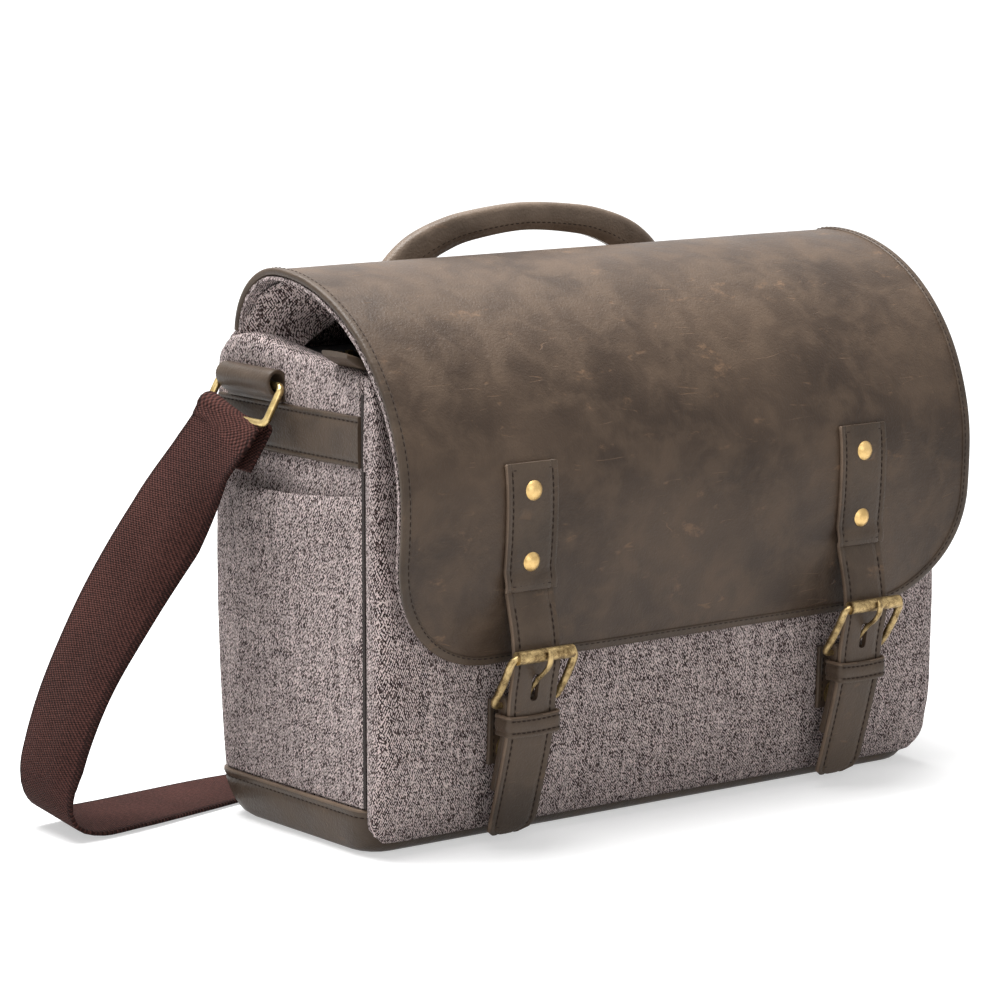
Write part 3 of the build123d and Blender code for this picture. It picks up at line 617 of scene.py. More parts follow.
@dataclass(frozen=True)
class Leather:
    """Waxed pull-up leather: softly mottled, finely grained, with short pale scuffs."""

    name: str = "leather"
    deep: Color = (0.040, 0.0255, 0.0170)
    body: Color = (0.074, 0.0490, 0.0330)
    pale: Color = (0.122, 0.0830, 0.0560)
    scuff: Color = (0.25, 0.150, 0.088)
    scuffs: float = 0.6
    gloss: float = 0.43

    def scratch(self, s: Shader, here: bpy.types.NodeSocket, turn: tuple[float, float, float],
                size: float, seed: float) -> bpy.types.NodeSocket:
        """Short straight marks that lie one way.

        Args:
            s: the material.
            here: coordinates of a point.
            turn: how the marks are turned, in radians.
            size: how many marks to a metre.
            seed: sets apart one group of marks from another.

        Returns:
            1 on a mark and 0 off it.
        """
        placed = s.add("Mapping", vector_type="POINT", Vector=here, Rotation=turn,
                       Location=(seed, -seed, seed * 0.5), Scale=(0.16, 1.0, 1.0)).outputs[0]
        near = s.math("ABSOLUTE", s.minus(s.speckle(placed, size, 1.0, 0.5), 0.5))
        thin = s.minus(1.0, s.steps(near, 0.001, 0.012))
        patch = s.speckle(s.scaled(here, (1.0, 1.0, 1.0)), size * 0.42 + seed, 3.0, 0.6)
        return s.times(thin, s.steps(patch, 0.60, 0.69))

    def build(self) -> bpy.types.Material:
        """Make the material."""
        s = Shader(self.name)
        here = s.place()
        clouds = s.steps(s.speckle(here, 13.0, 3.0, 0.55, 0.3), 0.34, 0.68)
        patches = s.steps(s.speckle(here, 48.0, 4.0, 0.6, 0.4), 0.36, 0.70)
        color = s.mix(s.times(patches, 0.48), s.mix(clouds, self.deep, self.body), self.pale)
        groups = (((0.2, 0.5, 0.4), 95.0, 0.3), ((0.1, -0.6, 1.2), 120.0, 1.7),
                  ((0.5, 1.1, 0.0), 80.0, 3.1))
        marks = reduce(s.most, [self.scratch(s, here, *group) for group in groups])
        rubbed = s.steps(s.speckle(s.scaled(here, (0.55, 1.0, 1.0)), 62.0, 5.0, 0.72, 0.2),
                         0.60, 0.74)
        worn = s.times(s.most(s.times(marks, 0.5), s.times(rubbed, 0.75)), self.scuffs)
        grain = s.add("TexVoronoi", Vector=here, Scale=900.0, feature="SMOOTH_F1")
        fine = s.speckle(here, 2200.0, 2.0)
        creases = s.speckle(here, 140.0, 5.0, 0.62, 0.7)
        height = s.plus(s.times(grain.outputs["Distance"], 0.5),
                        s.plus(s.times(fine, 0.25), creases))
        height = s.minus(height, s.times(marks, 0.35))
        rough = s.plus(s.plus(self.gloss - 0.06, s.times(patches, 0.13)), s.times(worn, 0.15))
        return s.finish(s.mix(worn, color, self.scuff), rough, s.bump(height, 0.00055, 0.6),
                        Specular_IOR_Level=0.22)


@dataclass(frozen=True)
class Tweed:
    """Heathered tweed: slanting floats of light and dark yarn, one by one."""

    name: str = "tweed"
    dark: Color = (0.018, 0.010, 0.010)
    mid: Color = (0.125, 0.084, 0.080)
    light: Color = (0.82, 0.690, 0.665)
    yarn: float = 0.00040
    float_length: float = 0.00088

    def build(self) -> bpy.types.Material:
        """Make the material, for a UV map in metres."""
        s = Shader(self.name)
        parts = s.add("SeparateXYZ", Vector=s.place(uv=True))
        u, v = parts.outputs[0], parts.outputs[1]
        bend = s.speckle(s.scaled(s.place(uv=True), (95.0, 95.0, 1.0)), 1.0, 2.0)
        lean = s.plus(s.times(v, 0.30), s.times(bend, 0.0012))
        across = s.math("DIVIDE", s.plus(u, lean), self.yarn)
        column = s.math("FLOOR", across)
        offset = s.add("TexWhiteNoise", noise_dimensions="1D", W=column)
        stagger = s.plus(s.times(column, 0.37), s.times(offset.outputs["Value"], 0.35))
        along = s.plus(s.math("DIVIDE", v, self.float_length), stagger)
        row = s.math("FLOOR", along)
        cell = s.add("CombineXYZ", X=column, Y=row)
        pick = s.add("TexWhiteNoise", noise_dimensions="2D", Vector=cell.outputs[0])
        streak = s.speckle(s.scaled(s.place(uv=True), (210.0, 16.0, 1.0)), 1.0, 2.0)
        weft = s.speckle(s.scaled(s.place(uv=True), (20.0, 320.0, 1.0)), 1.0, 2.0)
        turned = s.math("MODULO", s.math("ABSOLUTE", s.plus(column, row)), 2.0)
        tone = pick.outputs["Value"]
        for part, share in ((streak, 0.55), (weft, 0.35), (turned, 0.50)):
            tone = s.plus(tone, s.times(s.minus(part, 0.5), share))
        round_across = s.math("SINE", s.times(s.math("FRACT", across), math.pi))
        round_along = s.math("SINE", s.times(s.math("FRACT", along), math.pi))
        height = s.times(s.math("POWER", round_across, 0.8), s.math("POWER", round_along, 0.35))
        color = s.mix(s.steps(tone, 0.16, 0.42), self.dark, self.mid)
        color = s.mix(s.steps(tone, 0.45, 0.68), color, self.light)
        # Painted shade: the low parts between yarn floats are darkened towards the dark yarn.
        color = s.mix(s.steps(height, -0.15, 0.6), self.dark, color)
        height = s.plus(height, s.times(tone, 0.4))
        return s.finish(color, 0.93, s.bump(height, 0.0004, 0.6), Sheen_Weight=0.06,
                        Sheen_Roughness=0.5, Specular_IOR_Level=0.15)


@dataclass(frozen=True)
class Twill:
    """Heavy webbing: diagonal ribs along its run, with painted shade darkening its edges."""

    name: str = "webbing"
    dark: Color = (0.014, 0.0055, 0.0045)
    light: Color = (0.095, 0.037, 0.030)
    rib: float = 0.0023
    # Where the painted shade along each edge starts and where it is full, in metres across.
    edge: tuple[float, float] = (0.0215, 0.0228)

    def build(self) -> bpy.types.Material:
        """Make the material, for a UV map in metres."""
        s = Shader(self.name)
        parts = s.add("SeparateXYZ", Vector=s.place(uv=True))
        u, v = parts.outputs[0], parts.outputs[1]
        turn = 2 * math.pi / self.rib
        rib = s.math("SINE", s.times(s.plus(s.times(u, 0.8), v), turn))
        cross = s.math("SINE", s.times(s.minus(v, s.times(u, 0.35)), turn * 1.9))
        weave = s.plus(s.times(rib, 0.6), s.times(cross, 0.4))
        fuzz = s.speckle(s.scaled(s.place(uv=True), (900.0, 500.0, 1.0)), 1.0, 3.0)
        wear = s.speckle(s.place(), 22.0, 3.0)
        # Painted shade: the outer few millimetres of each edge are darkened as if in shadow.
        edge = s.steps(s.math("ABSOLUTE", u), *self.edge)
        tone = s.plus(s.times(weave, 0.36), s.plus(fuzz, -0.02))
        tone = s.plus(tone, s.times(s.minus(wear, 0.5), 0.45))
        tone = s.minus(tone, s.times(edge, 0.22))
        color = s.mix(s.steps(tone, 0.10, 0.95), self.dark, self.light)
        return s.finish(color, 0.9, s.bump(weave, 0.00045, 0.9), Specular_IOR_Level=0.12)


@dataclass(frozen=True)
class Cloth:
    """Plain woven cloth: lining, hook tape, zip tape and piping."""

    name: str
    dark: Color
    light: Color
    yarn: float = 0.0007

    def build(self) -> bpy.types.Material:
        """Make the material."""
        s = Shader(self.name)
        here = s.place()
        grain = s.speckle(s.scaled(here, (1 / self.yarn,) * 3), 1.0, 2.0)
        fold_shade = s.speckle(here, 30.0, 3.0)
        color = s.mix(s.steps(grain, 0.35, 0.65), self.dark, self.light)
        # Painted shade: broad patches of the cloth are darkened as if in the shade of folds.
        color = s.mix(s.times(fold_shade, 0.3), color, self.dark)
        return s.finish(color, 0.9, s.bump(grain, 0.0003, 0.5), Sheen_Weight=0.1,
                        Specular_IOR_Level=0.2)


@dataclass(frozen=True)
class Metal:
    """Plated metal with worn, slightly grainy plating."""

    name: str
    deep: Color
    bright: Color
    rough: float
    grain: float = 0.5

    def build(self) -> bpy.types.Material:
        """Make the material."""
        s = Shader(self.name)
        here = s.place()
        worn = s.speckle(here, 210.0, 4.0, 0.65)
        pits = s.speckle(here, 1500.0, 3.0, 0.6)
        tone = s.plus(s.times(worn, 0.7), s.times(pits, 0.3))
        color = s.mix(s.steps(tone, 0.38, 0.60), self.deep, self.bright)
        rough = s.plus(self.rough, s.times(pits, 0.18))
        return s.finish(color, rough, s.bump(s.plus(pits, worn), 0.00018, self.grain),
                        Metallic=1.0)


class Finish(Enum):
    """Every finish on the bag."""

    FLAP = Leather("leather_flap")
    LEATHER = Leather("leather_trim", scuffs=0.4, deep=(0.043, 0.029, 0.0195),
                      body=(0.074, 0.051, 0.0355), pale=(0.108, 0.077, 0.054))
    # Painted light: the handle's leather is the trim leather painted lighter, for the top light
    # that falls on the handle.
    HANDLE = Leather("leather_handle_painted_light", scuffs=0.4, deep=(0.100, 0.072, 0.052),
                     body=(0.165, 0.122, 0.090), pale=(0.225, 0.170, 0.128))
    # Painted highlight: a lighter copy of the leather for rims that catch the light.
    EDGE = Leather("leather_edge_painted_highlight", deep=(0.080, 0.053, 0.036), body=(0.150, 0.104, 0.073),
                   pale=(0.22, 0.160, 0.115), scuffs=0.2, gloss=0.52)
    TWEED = Tweed()
    WEBBING = Twill()
    LINING = Cloth("lining", (0.020, 0.018, 0.018), (0.055, 0.048, 0.045))
    PADDING = Cloth("padding", (0.050, 0.043, 0.040), (0.120, 0.105, 0.098))
    TAPE = Cloth("tape", (0.018, 0.013, 0.012), (0.050, 0.038, 0.034))
    THREAD = Cloth("thread", (0.012, 0.007, 0.005), (0.040, 0.024, 0.016), 0.0003)
    ANTIQUE = Metal("antique_brass", (0.145, 0.095, 0.042), (0.47, 0.345, 0.165), 0.33, 0.8)
    RIVET = Metal("rivet_brass", (0.52, 0.345, 0.135), (0.66, 0.455, 0.195), 0.30, 0.12)
    GOLD = Metal("ring_gold", (0.40, 0.29, 0.12), (0.60, 0.455, 0.21), 0.24, 0.15)


class Wardrobe:
    """The finishes as materials, each made once."""

    def __init__(self) -> None:
        """Start with none made."""
        self.made: dict[Finish, bpy.types.Material] = {}

    def get(self, finish: Finish) -> bpy.types.Material:
        """The material of a finish."""
        if finish not in self.made:
            self.made[finish] = finish.value.build()
        return self.made[finish]

    def dress(self, piece: bpy.types.Object, body: Optional[str], slot: Slot,
              finishes: Sequence[Finish], nodes: Sequence[str] = (),
              angle: float = 42.0) -> bpy.types.Object:
        """Finish a piece and put it on its body.

        Args:
            piece: the piece.
            body: the body it rides on, or None for a piece between two bodies, which is put on
                neither.
            slot: the record's slot its finish comes from; not used.
            finishes: its finishes, by face material number.
            nodes: the frame's nodes that it stands for.
            angle: how sharp an edge still shades smooth, in degrees.

        Returns:
            The piece.
        """
        for finish in finishes:
            piece.data.materials.append(self.get(finish))
        if Finish.TWEED in finishes:
            lay_cloth(piece)
        smooth(piece, angle)
        if body is not None:
            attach(piece, str(getattr(body, "value", body)))
        if nodes:
            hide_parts(*nodes)
        log.info("%s: %d faces on %s", piece.name, len(piece.data.polygons), body)
        return piece

    def sew(self, thread: Thread, name: str, lines: Iterable[Sequence[Station]],
            body: str) -> None:
        """Sew lines of stitches as one piece and put it on its body.

        Args:
            thread: the stitches' thread.
            name: the piece's name.
            lines: stations of each line's stitches.
            body: the body it rides on.
        """
        self.dress(thread.sew(name, lines), body, Slot.LEATHER, [Finish.THREAD])

    def refinish(self, node: str, finish: Finish) -> None:
        """Give a frame node that stays a better finish."""
        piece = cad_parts[node]
        piece.data.materials.clear()
        piece.data.materials.append(self.get(finish))
        log.info("%s: finished as %s", node, finish.name.lower())


def led(points: Sequence[Sequence[float]]) -> list[np.ndarray]:
    """A line's points with one more put before its start and after its end."""
    line = [np.array(p, float) for p in points]
    return [2 * line[0] - line[1]] + line + [2 * line[-1] - line[-2]]


def between(knots: Sequence[np.ndarray], t: float) -> np.ndarray:
    """A point at a share of the way from the second of four knots to the third."""
    a, b, c, d = knots
    return 0.5 * (2 * b + (c - a) * t + (2 * a - 5 * b + 4 * c - d) * t * t
                  + (3 * b - a - 3 * c + d) * t ** 3)


def through(points: Sequence[Sequence[float]], step: float) -> list[np.ndarray]:
    """A smooth line through points of any number of values.

    Args:
        points: the points that it passes; its first three values are a place.
        step: about how far apart the new points are.

    Returns:
        The points of the smooth line.
    """
    line = led(points)
    found = []
    for knots in zip(line, line[1:], line[2:], line[3:]):
        count = max(1, round(float(np.linalg.norm((knots[2] - knots[1])[:3])) / step))
        found += [between(knots, i / count) for i in range(count)]
    return found + [line[-2]]


def sample(points: Sequence[Sequence[float]], count: int) -> list[np.ndarray]:
    """Points spread evenly by number along a smooth line.

    Args:
        points: the points that it passes.
        count: how many steps it is divided into.

    Returns:
        One more point than there are steps.
    """
    line = led(points)
    found = []
    for mark in np.linspace(0, len(points) - 1, count + 1):
        i = min(int(mark), len(points) - 2)
        found.append(between(line[i:i + 4], mark - i))
    return found


def draped(net: Sequence[Sequence[Sequence[float]]], across: int,
           up: int) -> list[list[np.ndarray]]:
    """A smooth sheet over a net of points.

    Args:
        net: rows of points.
        across: steps along each row.
        up: steps from the first row to the last.

    Returns:
        Rows of the sheet's points.
    """
    rows = [sample(row, across) for row in net]
    columns = [sample([row[i] for row in rows], up) for i in range(across + 1)]
    return [[column[j] for column in columns] for j in range(up + 1)]


def swelled(piece: bpy.types.Object, voxel: float, cap: float,
            held: Callable[[Vector], bool]) -> None:
    """Fill a soft piece: remesh it, blow it up as cloth, and keep the new form.

    Args:
        piece: the piece, which starts a little small.
        voxel: size of the new mesh's cells, in millimetres.
        cap: the most that a point may move.
        held: says which points, in millimetres, stay where they are.
    """
    apply(piece, "REMESH", mode="VOXEL", voxel_size=voxel * MM, use_smooth_shade=True)
    group = piece.vertex_groups.new(name="held")
    start = [v.co.copy() for v in piece.data.vertices]
    group.add([i for i, co in enumerate(start) if held(co / MM)], 1.0, "REPLACE")
    cloth = piece.modifiers.new("Cloth", "CLOTH")
    cloth.settings.quality = 5
    cloth.settings.use_pressure = True
    cloth.settings.uniform_pressure_force = 4.0
    cloth.settings.vertex_group_mass = "held"
    cloth.settings.effector_weights.gravity = 0.0
    cloth.collision_settings.use_collision = False
    scene = bpy.context.scene
    for number in range(1, 21):
        scene.frame_set(number)
    shown = piece.evaluated_get(bpy.context.evaluated_depsgraph_get()).data
    moved = [v.co.copy() for v in shown.vertices]
    piece.modifiers.remove(cloth)
    piece.vertex_groups.clear()
    scene.frame_set(1)
    for vertex, a, b in zip(piece.data.vertices, start, moved):
        way = b - a
        length = way.length / MM
        if length > 0:
            vertex.co = a + way * (cap * math.tanh(length / cap) / length)
    apply(piece, "SUBSURF", levels=1, render_levels=1)


def rounded_box(half: float, near: float, far: float, turn: float, wide: int = 24,
                deep: int = 10, far_turn: Optional[float] = None
                ) -> list[tuple[float, float, float, float]]:
    """Points round a box with rounded corners, seen from above.

    Args:
        half: half its width.
        near: depth of its front.
        far: depth of its back.
        turn: radius of its corners.
        wide: divisions of its front and back.
        deep: divisions of its sides.
        far_turn: radius of the two far corners, if they differ.

    Returns:
        Points as x, y and the outward direction's x and y.
    """
    other = turn if far_turn is None else far_turn
    corners = [(half - turn, near + turn, -90, turn), (half - other, far - other, 0, other),
               (-half + other, far - other, 90, other), (-half + turn, near + turn, 180, turn)]
    found = []
    for i, (x, y, start, radius) in enumerate(corners):
        for step in range(5):
            angle = math.radians(start + 22.5 * step)
            found.append((x + radius * math.cos(angle), y + radius * math.sin(angle),
                          math.cos(angle), math.sin(angle)))
        ahead = corners[(i + 1) % 4]
        count = deep if i % 2 == 0 else wide
        x0, y0, nx, ny = found[-1]
        angle = math.radians(ahead[2])
        x1 = ahead[0] + ahead[3] * math.cos(angle)
        y1 = ahead[1] + ahead[3] * math.sin(angle)
        for step in range(1, count):
            t = step / count
            found.append((x0 + (x1 - x0) * t, y0 + (y1 - y0) * t, nx, ny))
    return found


# ------------------------------------------------------------------ the padded body
@dataclass
class PaddedBody:
    """The tweed walls, their leather boot, the bands and the inside."""

    wardrobe: Wardrobe
    half_w: float = HALF_W
    half_d: float = HALF_D
    top: float = 244.0
    wall: float = 10.0
    floor: float = 11.0
    boot_h: float = 25.0
    boot_t: float = 2.0
    boot_floor: float = 3.0
    bulge: float = 4.4
    corners: tuple[float, float] = (4.0, 10.0)
    cells: tuple[int, int] = (30, 14)
    thread: Thread = field(default_factory=Thread)

    def build(self) -> None:
        """Make every fixed piece of the body."""
        self.walls()
        self.boot()
        self.bands()
        self.inside()
        self.hinge_strip()

    def rise(self, z: float) -> float:
        """How full the padding is at a height, from 0 at the boot and top to 1."""
        t = ramp(z, self.boot_h, self.top - self.boot_h)
        return math.sin(math.pi * t) ** 0.8 * (1 - t ** 6)

    def swell(self, y: float, z: float) -> float:
        """How far a side stands out of its plain place."""
        return self.bulge * self.rise(z) * eased(ramp(y, -62.0, 56.0))

    def plan(self, inset: float, tight: float) -> list[tuple[float, float, float, float]]:
        """The walls' plan, drawn in, with its corners' radii taken down."""
        near, far = (max(radius - tight, 1.5) for radius in self.corners)
        return rounded_box(self.half_w - inset, -self.half_d + inset, self.half_d - inset,
                           near, *self.cells, far)

    def walls(self) -> None:
        """Four padded walls in one soft shell, tweed outside and lined inside."""
        rings = []
        for z in np.linspace(self.boot_floor + 0.2, self.top - 3.0, 30):
            ring = []
            plan = self.boot_ring(3.4, z) if z < self.boot_h - 1 else self.plan(0.3, 0.0)
            for x, y, nx, ny in plan:
                here = Vector((x, y, z))
                soft = self.rise(z) * (0.7 * ripple(here, 46.0, 2.0)
                                       + 0.3 * ripple(here, 17.0, 4.0))
                out = self.swell(y, z) + soft
                back = (5.0 * self.rise(z) + soft) if ny > 0 else 0.3 * self.rise(z)
                ring.append(here + Vector((nx * out, ny * back, 0)))
            rings.append(ring)
        rim = [(0.3, -1.4), (1.6, -0.3), (4.0, 0.0), (6.5, 0.0), (8.8, -0.6), (9.8, -2.0)]
        for inset, drop in rim:
            rings.append([Vector((x, y, self.top + drop))
                          for x, y, _, _ in self.plan(inset, inset)])
        for z in np.linspace(self.top - 8.0, self.floor - 1.0, 14):
            rings.append([Vector((x, y, z)) for x, y, _, _ in self.plan(self.wall, self.wall)])
        walls = loft("padded_walls", rings)
        inside_x, inside_y = (self.half_w - 8.0) * MM, (self.half_d - 8.0) * MM
        paint(walls, 1, lambda f: abs(f.center.x) < inside_x and abs(f.center.y) < inside_y)
        self.wardrobe.dress(walls, Body.BAG, Slot.TWEED, [Finish.TWEED, Finish.LINING],
                            ["left_side_wall", "right_side_wall", "left_side_yoke",
                             "right_side_yoke", "front_wall", "back_panel"])

    def boot_ring(self, inset: float, z: float) -> list[tuple[float, float, float, float]]:
        """The boot's plan at a height, drawn in and rounder towards the floor."""
        low = max(0.0, 1 - z / 22.0)
        tuck = inset + 6.0 * low ** 2.2
        return rounded_box(self.half_w + self.boot_t - tuck, -self.half_d - self.boot_t + tuck,
                           self.half_d + self.boot_t - tuck, max(11.0 - inset, 2.0) + 5.0 * low,
                           *self.cells, max(13.0 - inset, 2.0) + 9.0 * low)

    def boot(self) -> None:
        """Leather tray round the bottom, with a turned and stitched top edge."""
        outer = [(30.0, 0.0), (9.0, 0.0), (3.6, 0.1), (1.6, 0.9), (0.4, 2.6), (0.0, 5.0),
                 (0.0, 8.0), (0.0, 11.0), (0.0, 14.0), (0.0, 17.0), (0.0, 19.6), (0.45, 20.6),
                 (0.0, 21.6), (-0.5, 22.6), (-0.75, 23.6), (-0.6, 24.5), (0.2, 25.0)]
        inner = [(1.6, 24.8), (2.1, 23.6), (2.1, 14.0), (2.1, 8.0), (4.6, 3.6), (30.0, 3.1)]
        rings = []
        for inset, z in outer + inner:
            rings.append([Vector((x, y, z)) for x, y, _, _ in self.boot_ring(inset, z)])
        boot = loft("leather_boot_skin", rings)
        # Painted highlight: the turned top edge gets the lighter edge finish.
        paint(boot, 1, lambda f: f.center.z > 23.4 * MM)
        self.wardrobe.dress(boot, Body.BAG, Slot.LEATHER, [Finish.LEATHER, Finish.EDGE],
                            ["leather_boot"])
        line = [Station(Vector((x, y, 20.6)), Vector((0, 0, 1)), Vector((nx, ny, 0)))
                for x, y, nx, ny in self.boot_ring(0.45, 20.6)]
        self.wardrobe.sew(self.thread, "boot_stitches",
                          [spaced(line, self.thread.pitch, 0, 0.05, True)], Body.BAG)

    def bands(self) -> None:
        """Leather band across the top of each side, stitched above and below."""
        for side in Side:
            node = f"{side.word}_side_band"
            low, high = box_of(node)
            low.y, high.y = -self.half_d + 2.5, high.y + 3.0
            run = [Station(Vector((side.value * (self.half_w + self.swell(y, 211.0) + 0.9), y,
                                   (low.z + high.z) / 2)),
                           Vector((0, 0, 1)), Vector((side.value, 0, 0)))
                   for y in np.linspace(low.y, high.y, 30)]
            wide = high.z - low.z
            piece = sweep(f"{node}_leather", run,
                          lambda i: welt(-wide / 2, wide / 2, 2.2, 2.9, 0.5))
            self.wardrobe.dress(piece, Body.BAG, Slot.LEATHER, [Finish.LEATHER], [node])
            lines = [spaced(run, self.thread.pitch, across, 0.85)
                     for across in (-wide / 2 + 2.9, wide / 2 - 2.9)]
            self.wardrobe.sew(self.thread, f"{node}_stitches", lines, Body.BAG)

    def pad(self, node: str, body: str, slot: Slot, finish: Finish, crown: float,
            turn: float) -> None:
        """A padded panel in place of a plain one, full in its middle.

        Args:
            node: the frame's node.
            body: the body it rides on.
            slot: the record's slot.
            finish: its finish.
            crown: how much fuller it is in the middle than at its edges.
            turn: radius of its edges.
        """
        low, high = box_of(node)
        piece = block(f"{node}_pad", low, high, turn, 5, 3)
        middle, size = (low + high) / 2, high - low
        thin = min(range(3), key=lambda axis: size[axis])

        def full(point: Vector) -> Vector:
            share = [abs(point[i] - middle[i]) / (size[i] / 2) for i in range(3) if i != thin]
            edge = max(0.0, 1 - max(share) ** 4)
            point[thin] = middle[thin] + (point[thin] - middle[thin]) * (1 - crown * (1 - edge))
            return point

        shape(piece, full)
        self.wardrobe.dress(piece, body, slot, [finish], [node])

    def inside(self) -> None:
        """Base board, laptop wall, dividers and their hook tapes."""
        self.pad("base_board", Body.BAG, Slot.PADDING, Finish.PADDING, 0.12, 2.0)
        self.pad("laptop_wall", Body.BAG, Slot.PADDING, Finish.PADDING, 0.2, 2.2)
        for side in Side:
            body = f"{side.word}_divider_panel"
            self.pad(f"{side.word}_divider", body, Slot.PADDING, Finish.PADDING, 0.2, 2.6)
            node = f"{side.word}_divider_tapes"
            low, high = box_of(node)
            strips = [block("tape", Vector((low.x, y, low.z)), Vector((high.x, y + 1.2, high.z)),
                            0.4, 2)
                      for y in (low.y, high.y - 1.2)]
            tapes = joined(f"{node}_loops", strips)
            self.wardrobe.dress(tapes, body, Slot.HOOK_TAPE, [Finish.TAPE], [node])

    def hinge_strip(self) -> None:
        """Leather strip that the flap is sewn on with, at the top of the back."""
        low, high = box_of("flap_hinge_strip")
        piece = block("flap_hinge_leather", low, high, 0.8)
        self.wardrobe.dress(piece, Body.BAG, Slot.LEATHER, [Finish.LEATHER], ["flap_hinge_strip"])
        lines = [spaced([Station(Vector((x, high.y, z)), Vector((0, 0, 1)), Vector((0, 1, 0)))
                         for x in (low.x + 2, high.x - 2)], self.thread.pitch)
                 for z in (low.z + 3.0, high.z - 4.0)]
        self.wardrobe.sew(self.thread, "flap_hinge_stitches", lines, Body.BAG)


@dataclass
class Pockets:
    """The front pocket, the side pockets and the ears under the flap."""

    wardrobe: Wardrobe
    body: PaddedBody
    half_w: float = HALF_W
    face_y: float = -HALF_D
    path: tuple[tuple[float, float], ...] = ((-72.4, 4.6), (-80.0, 45.0), (-82.2, 96.0),
                                             (-81.5, 150.0), (-78.5, 205.0))
    corner: float = 16.0
    top: float = 205.0
    strip_top: float = 243.4

    def build(self) -> None:
        """Make the pockets and the ears."""
        self.front()
        for side in Side:
            self.slip(side)
            self.seam_tape(side)
            self.corner_strip(side)
            self.ear(side)

    def front_y(self, z: float) -> float:
        """Depth of the front pocket's face at a height."""
        ys, zs = zip(*self.path)
        return float(np.interp(z, zs, ys))

    def front(self) -> None:
        """Soft front pocket: a filled pillow with rounded lower corners."""
        bottom = self.path[0][1]
        marks = [bottom + self.corner * (1 - math.cos(math.radians(a))) for a in
                 (3, 12, 22, 32, 42, 52, 62, 72, 82, 90)]
        marks += [bottom + self.corner + d
                  for d in np.arange(7, self.top - bottom - self.corner, 7)]
        rings = []
        for z in marks + [self.top]:
            lift = max(0.0, self.corner - (z - bottom))
            cut_in = self.corner - math.sqrt(max(self.corner ** 2 - lift ** 2, 0))
            half = self.half_w + 1.2 - cut_in
            ease = 1 - min(1.0, max(0.0, (z - bottom) / 16.0))
            front = self.front_y(z) + 3.5 * ease ** 2
            ring = []
            for x, y, nx, ny in rounded_box(half, front, self.face_y + 0.4, 5.0, 44, 3, 1.5):
                here = Vector((x, y, z))
                if ny < -0.3:
                    calm = ramp(abs(abs(x) - STRAP_X), 14, 20)
                    here.y += 0.8
                    here.y -= calm * (0.9 * ripple(here, 58.0, 5.0) + 0.4 * ripple(here, 21.0, 9.0))
                ring.append(here)
            rings.append(ring)
        pocket = loft("front_pocket", rings)
        swelled(pocket, 4.0, 2.2, lambda p: p.y > self.face_y - 5.0
                or (abs(abs(p.x) - STRAP_X) < 15 and 34 < p.z < 82))
        self.wardrobe.dress(pocket, Body.BAG, Slot.TWEED, [Finish.TWEED],
                            ["front_pocket_panel", "front_pocket_edges"], 60.0)

    def corner_strip(self, side: Side) -> None:
        """Folded cloth above the front pocket's end, up to the top of the bag.

        Args:
            side: which side.
        """
        rings = []
        for z in np.linspace(self.top - 8.0, self.strip_top, 12):
            t = ramp(z, self.top, self.strip_top - self.top)
            front = self.front_y(self.top) + 1.6 + 5.0 * t ** 2
            box = rounded_box(7.0, front, self.face_y + 0.4, 2.6, 4, 3, 1.5)
            shift = side.value * (self.half_w - 6.0 - 0.9 * t)
            rings.append([Vector((x + shift, y, z)) for x, y, _, _ in box])
        strip = loft(f"{side.word}_corner_strip", rings)
        self.wardrobe.dress(strip, Body.BAG, Slot.TWEED, [Finish.TWEED], (), 60.0)

    def seam_tape(self, side: Side) -> None:
        """Dark tape in the seam between the front pocket and a side pocket: a dark strip that
        stands for the seam's painted shade.

        Args:
            side: which side.
        """
        rings = []
        for z in np.linspace(26.2, self.top + 30.0, 36):
            ring = []
            for y, out in ((self.face_y - 0.3, -1.0), (self.face_y - 0.3, 0.3),
                           (self.face_y + 0.9, 0.45), (self.face_y + 2.1, 0.3),
                           (self.face_y + 2.1, -1.0)):
                reach = self.half_w + self.body.swell(y, z) + out
                ring.append(Vector((side.value * reach, y, z)))
            rings.append(ring)
        tape = loft(f"{side.word}_seam_tape", rings)
        self.wardrobe.dress(tape, Body.BAG, Slot.LINING, [Finish.TAPE])

    def slip(self, side: Side) -> None:
        """Slip pocket on a side, gaping a little, with a folded top hem.

        Args:
            side: which side.
        """
        node = f"{side.word}_side_pocket"
        near, far = self.face_y + 1.9, 60.0
        rows = [(25.8, 0.9), (28.0, 1.2), (40.0, 1.9), (60.0, 2.6), (80.0, 3.0), (110.0, 3.3),
                (140.0, 4.8), (160.0, 6.4), (172.0, 7.8), (177.0, 8.4)]
        hem = [(180.0, 8.9), (183.4, 8.8), (184.2, 7.9), (183.4, 7.0), (178.0, 6.4)]
        inner = [(z, max(d - 2.0, 0.2)) for z, d in reversed(rows)]
        rings = []
        columns = 30
        for z, stand in rows + hem + inner:
            ring = []
            for i in range(columns + 1):
                y = near + (far - near) * i / columns
                t = abs(y - (near + far) / 2) / ((far - near) / 2)
                edge = 1 - t ** 8
                open_here = 0.34 + 0.66 * math.exp(-((y - 26) / 44) ** 2)
                sag = 4.0 * (1 - t ** 2) * max(0.0, (z - 120) / 64)
                gap = 0.3 + (stand - 0.3) * edge * (open_here if z > 60 else 0.8)
                wave = 0.45 * ripple(Vector((0, y, z)), 38.0, 3.0 + side.value) * edge
                reach = self.half_w + self.body.swell(y, z - sag) + gap + max(wave, -0.2)
                ring.append(Vector((side.value * reach, y, z - sag)))
            rings.append(ring)
        cells = [[ring[i] for ring in rings] for i in range(columns + 1)]
        piece = loft(f"{node}_cloth", cells)
        self.wardrobe.dress(piece, Body.BAG, Slot.TWEED, [Finish.TWEED], [node], 60.0)

